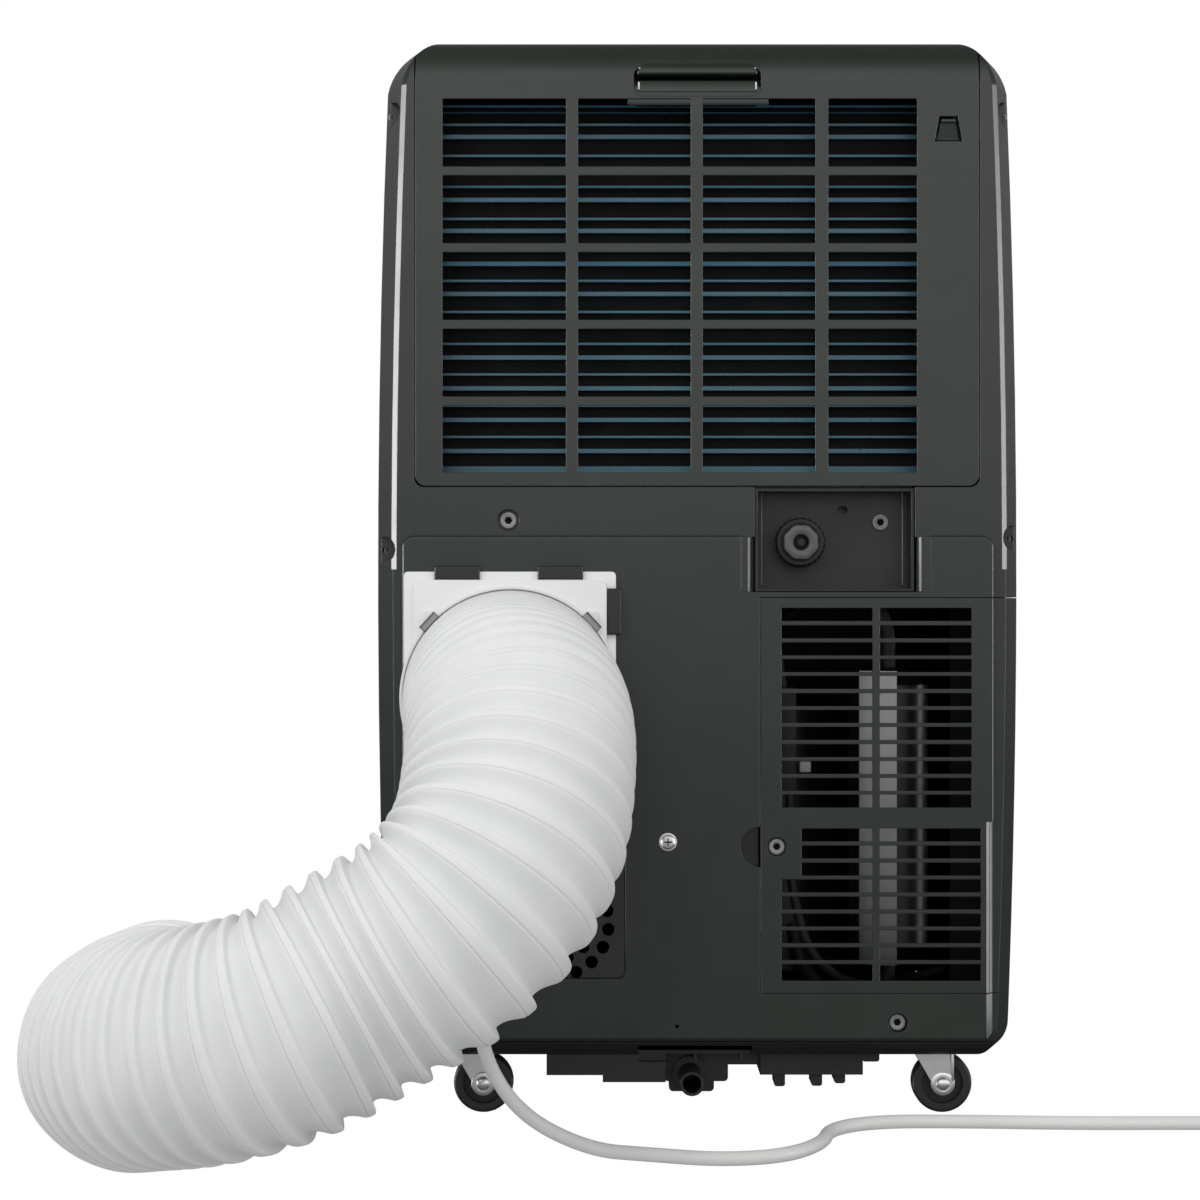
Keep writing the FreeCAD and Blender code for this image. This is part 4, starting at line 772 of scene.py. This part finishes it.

# painted highlights: pale strips along the side edges of the drain recess panel
EDGE = plastic("painted_edge_highlight", (0.20, 0.205, 0.20), (0.26, 0.265, 0.26), 0.3, 0.4, 500.0, 0.00001, 0.1, 0.0)
bm = bmesh.new()
for x in (-0.0448, -0.1436):
    lo_, hi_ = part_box("drain_recess_panel")
    yp = ray_y("drain_recess_panel", x, 0.40) or hi_[1]
    block(bm, x - 0.0004, x + 0.0004, yp - 0.0003, yp + 0.0004, 0.3725, 0.4375, 0.0002)
add("recess_panel_edge_highlights", bm, EDGE, "cabinet", [], angle=0.6)

# fine ribs on the side of the condenser cover
def ray_x(node, y, z):
    o = NODES[node]
    inv = o.matrix_world.inverted()
    ok, p, nrm, _ = o.ray_cast(inv @ Vector((-0.4, y, z)), inv.to_3x3() @ Vector((1, 0, 0)))
    return (o.matrix_world @ p).x if ok else None
bm = bmesh.new()
z = 0.104
while z < 0.356:
    xs = ray_x("condenser_cover", 0.080, z)
    if xs is not None:
        block(bm, xs - 0.0009, xs + 0.0010, 0.045, 0.112, z, z + 0.0017, 0.0)
    z += 0.0040
add("side_grille_ribs", bm, CASE, "condenser_cover", [], angle=0)

# terminal block on a bracket beside the compressor
bm = bmesh.new()
block(bm, -0.0700, -0.0560, 0.1150, 0.1250, 0.226, 0.300, 0.0008)
block(bm, -0.0700, -0.0560, 0.1150, 0.1250, 0.170, 0.214, 0.0008)
add("terminal_bracket", bm, SLEEVE, "cabinet", [], angle=0.5)
bm = bmesh.new()
block(bm, -0.0800, -0.0720, 0.1200, 0.1290, 0.2405, 0.2480, 0.0006)
add("terminal_block", bm, TAB, "cabinet", [], angle=0.5)

# ------------------------------------------------------------------ light
w = bpy.data.worlds.new("studio")
SC.world = w
w.use_nodes = True
wt = w.node_tree
wt.nodes.clear()
def wn(kind, **kw):
    x = wt.nodes.new(kind)
    for k, v in kw.items():
        setattr(x, k, v)
    return x
tc = wn("ShaderNodeTexCoord")
sp = wn("ShaderNodeSeparateXYZ")
wt.links.new(tc.outputs["Generated"], sp.inputs[0])

def curve(axis, pts):
    """Piecewise-linear value along one axis of the direction."""
    top = max(v for _, v in pts)
    mr = wn("ShaderNodeMapRange")
    for k, v in (("From Min", -1.0), ("From Max", 1.0), ("To Min", 0.0), ("To Max", 1.0)):
        mr.inputs[k].default_value = v
    wt.links.new(sp.outputs[axis], mr.inputs["Value"])
    r = wn("ShaderNodeValToRGB")
    r.color_ramp.interpolation = "LINEAR"
    el = r.color_ramp.elements
    for k, (p, v) in enumerate(pts):
        if k < 2:
            e = el[k]
            e.position = (p + 1) / 2
        else:
            e = el.new((p + 1) / 2)
        e.color = (v / top, v / top, v / top, 1)
    wt.links.new(mr.outputs["Result"], r.inputs[0])
    g = wn("ShaderNodeMath", operation="MULTIPLY")
    g.inputs[1].default_value = top
    wt.links.new(r.outputs[0], g.inputs[0])
    return g.outputs[0]

def op(kind, a, b):
    g = wn("ShaderNodeMath", operation=kind)
    wt.links.new(a, g.inputs[0])
    wt.links.new(b, g.inputs[1])
    return g.outputs[0]

def backdrop(strength):
    b = wn("ShaderNodeBackground")
    b.inputs["Color"].default_value = (1, 1, 1, 1)
    if isinstance(strength, float):
        b.inputs["Strength"].default_value = strength
    else:
        wt.links.new(strength, b.inputs["Strength"])
    return b.outputs[0]

# soft light on the surfaces, mirrored softboxes, and a plain white ground behind the object
soft = op("MULTIPLY", curve("Z", [(-1.0, 0.52), (-0.35, 0.63), (0.0, 0.83), (0.35, 1.06), (1.0, 1.10)]), curve("Y", [(-1.0, 0.40), (-0.25, 0.55), (0.35, 1.0), (1.0, 1.0)]))
front = op("MULTIPLY", curve("Z", [(-1.0, 0.10), (-0.40, 0.14), (-0.16, 0.24), (-0.06, 0.38), (0.0, 0.66), (0.08, 1.15), (0.2, 1.32), (0.42, 1.25), (0.6, 0.95), (0.8, 0.45), (1.0, 0.3)]),
           curve("Y", [(-1.0, 0.16), (0.30, 0.20), (0.62, 1.0), (1.0, 1.0)]))
boxes = op("MULTIPLY", curve("X", [(-1.0, 8.0), (-0.985, 8.0), (-0.95, 0.0), (0.95, 0.0), (0.985, 15.0), (1.0, 15.0)]), curve("Z", [(-1.0, 0.0), (-0.36, 0.0), (-0.20, 0.5), (0.0, 1.0), (0.30, 1.0), (0.42, 0.0), (1.0, 0.0)]))
mirror = op("ADD", front, boxes)
lp = wn("ShaderNodeLightPath")
m1 = wn("ShaderNodeMixShader")
wt.links.new(lp.outputs["Is Glossy Ray"], m1.inputs[0])
wt.links.new(backdrop(soft), m1.inputs[1])
wt.links.new(backdrop(mirror), m1.inputs[2])
m2 = wn("ShaderNodeMixShader")
wt.links.new(lp.outputs["Is Camera Ray"], m2.inputs[0])
wt.links.new(m1.outputs[0], m2.inputs[1])
wt.links.new(backdrop(1.0), m2.inputs[2])
wo = wn("ShaderNodeOutputWorld")
wt.links.new(m2.outputs[0], wo.inputs["Surface"])

def area(name, loc, target, size, power, col=(1, 1, 1)):
    d = bpy.data.lights.new(name, "AREA")
    d.shape = "RECTANGLE"
    d.size, d.size_y = size
    d.energy = power
    d.color = col
    o = bpy.data.objects.new(name, d)
    o.location = loc
    o.rotation_euler = (Vector(target) - Vector(loc)).to_track_quat("-Z", "Y").to_euler()
    o.visible_glossy = False
    o.visible_camera = False
    SC.collection.objects.link(o)
area("key_top", (0.9, 1.5, 2.2), (0.1, 0.2, 0.3), (1.4, 1.0), 13)

SC.view_settings.view_transform = "Standard"
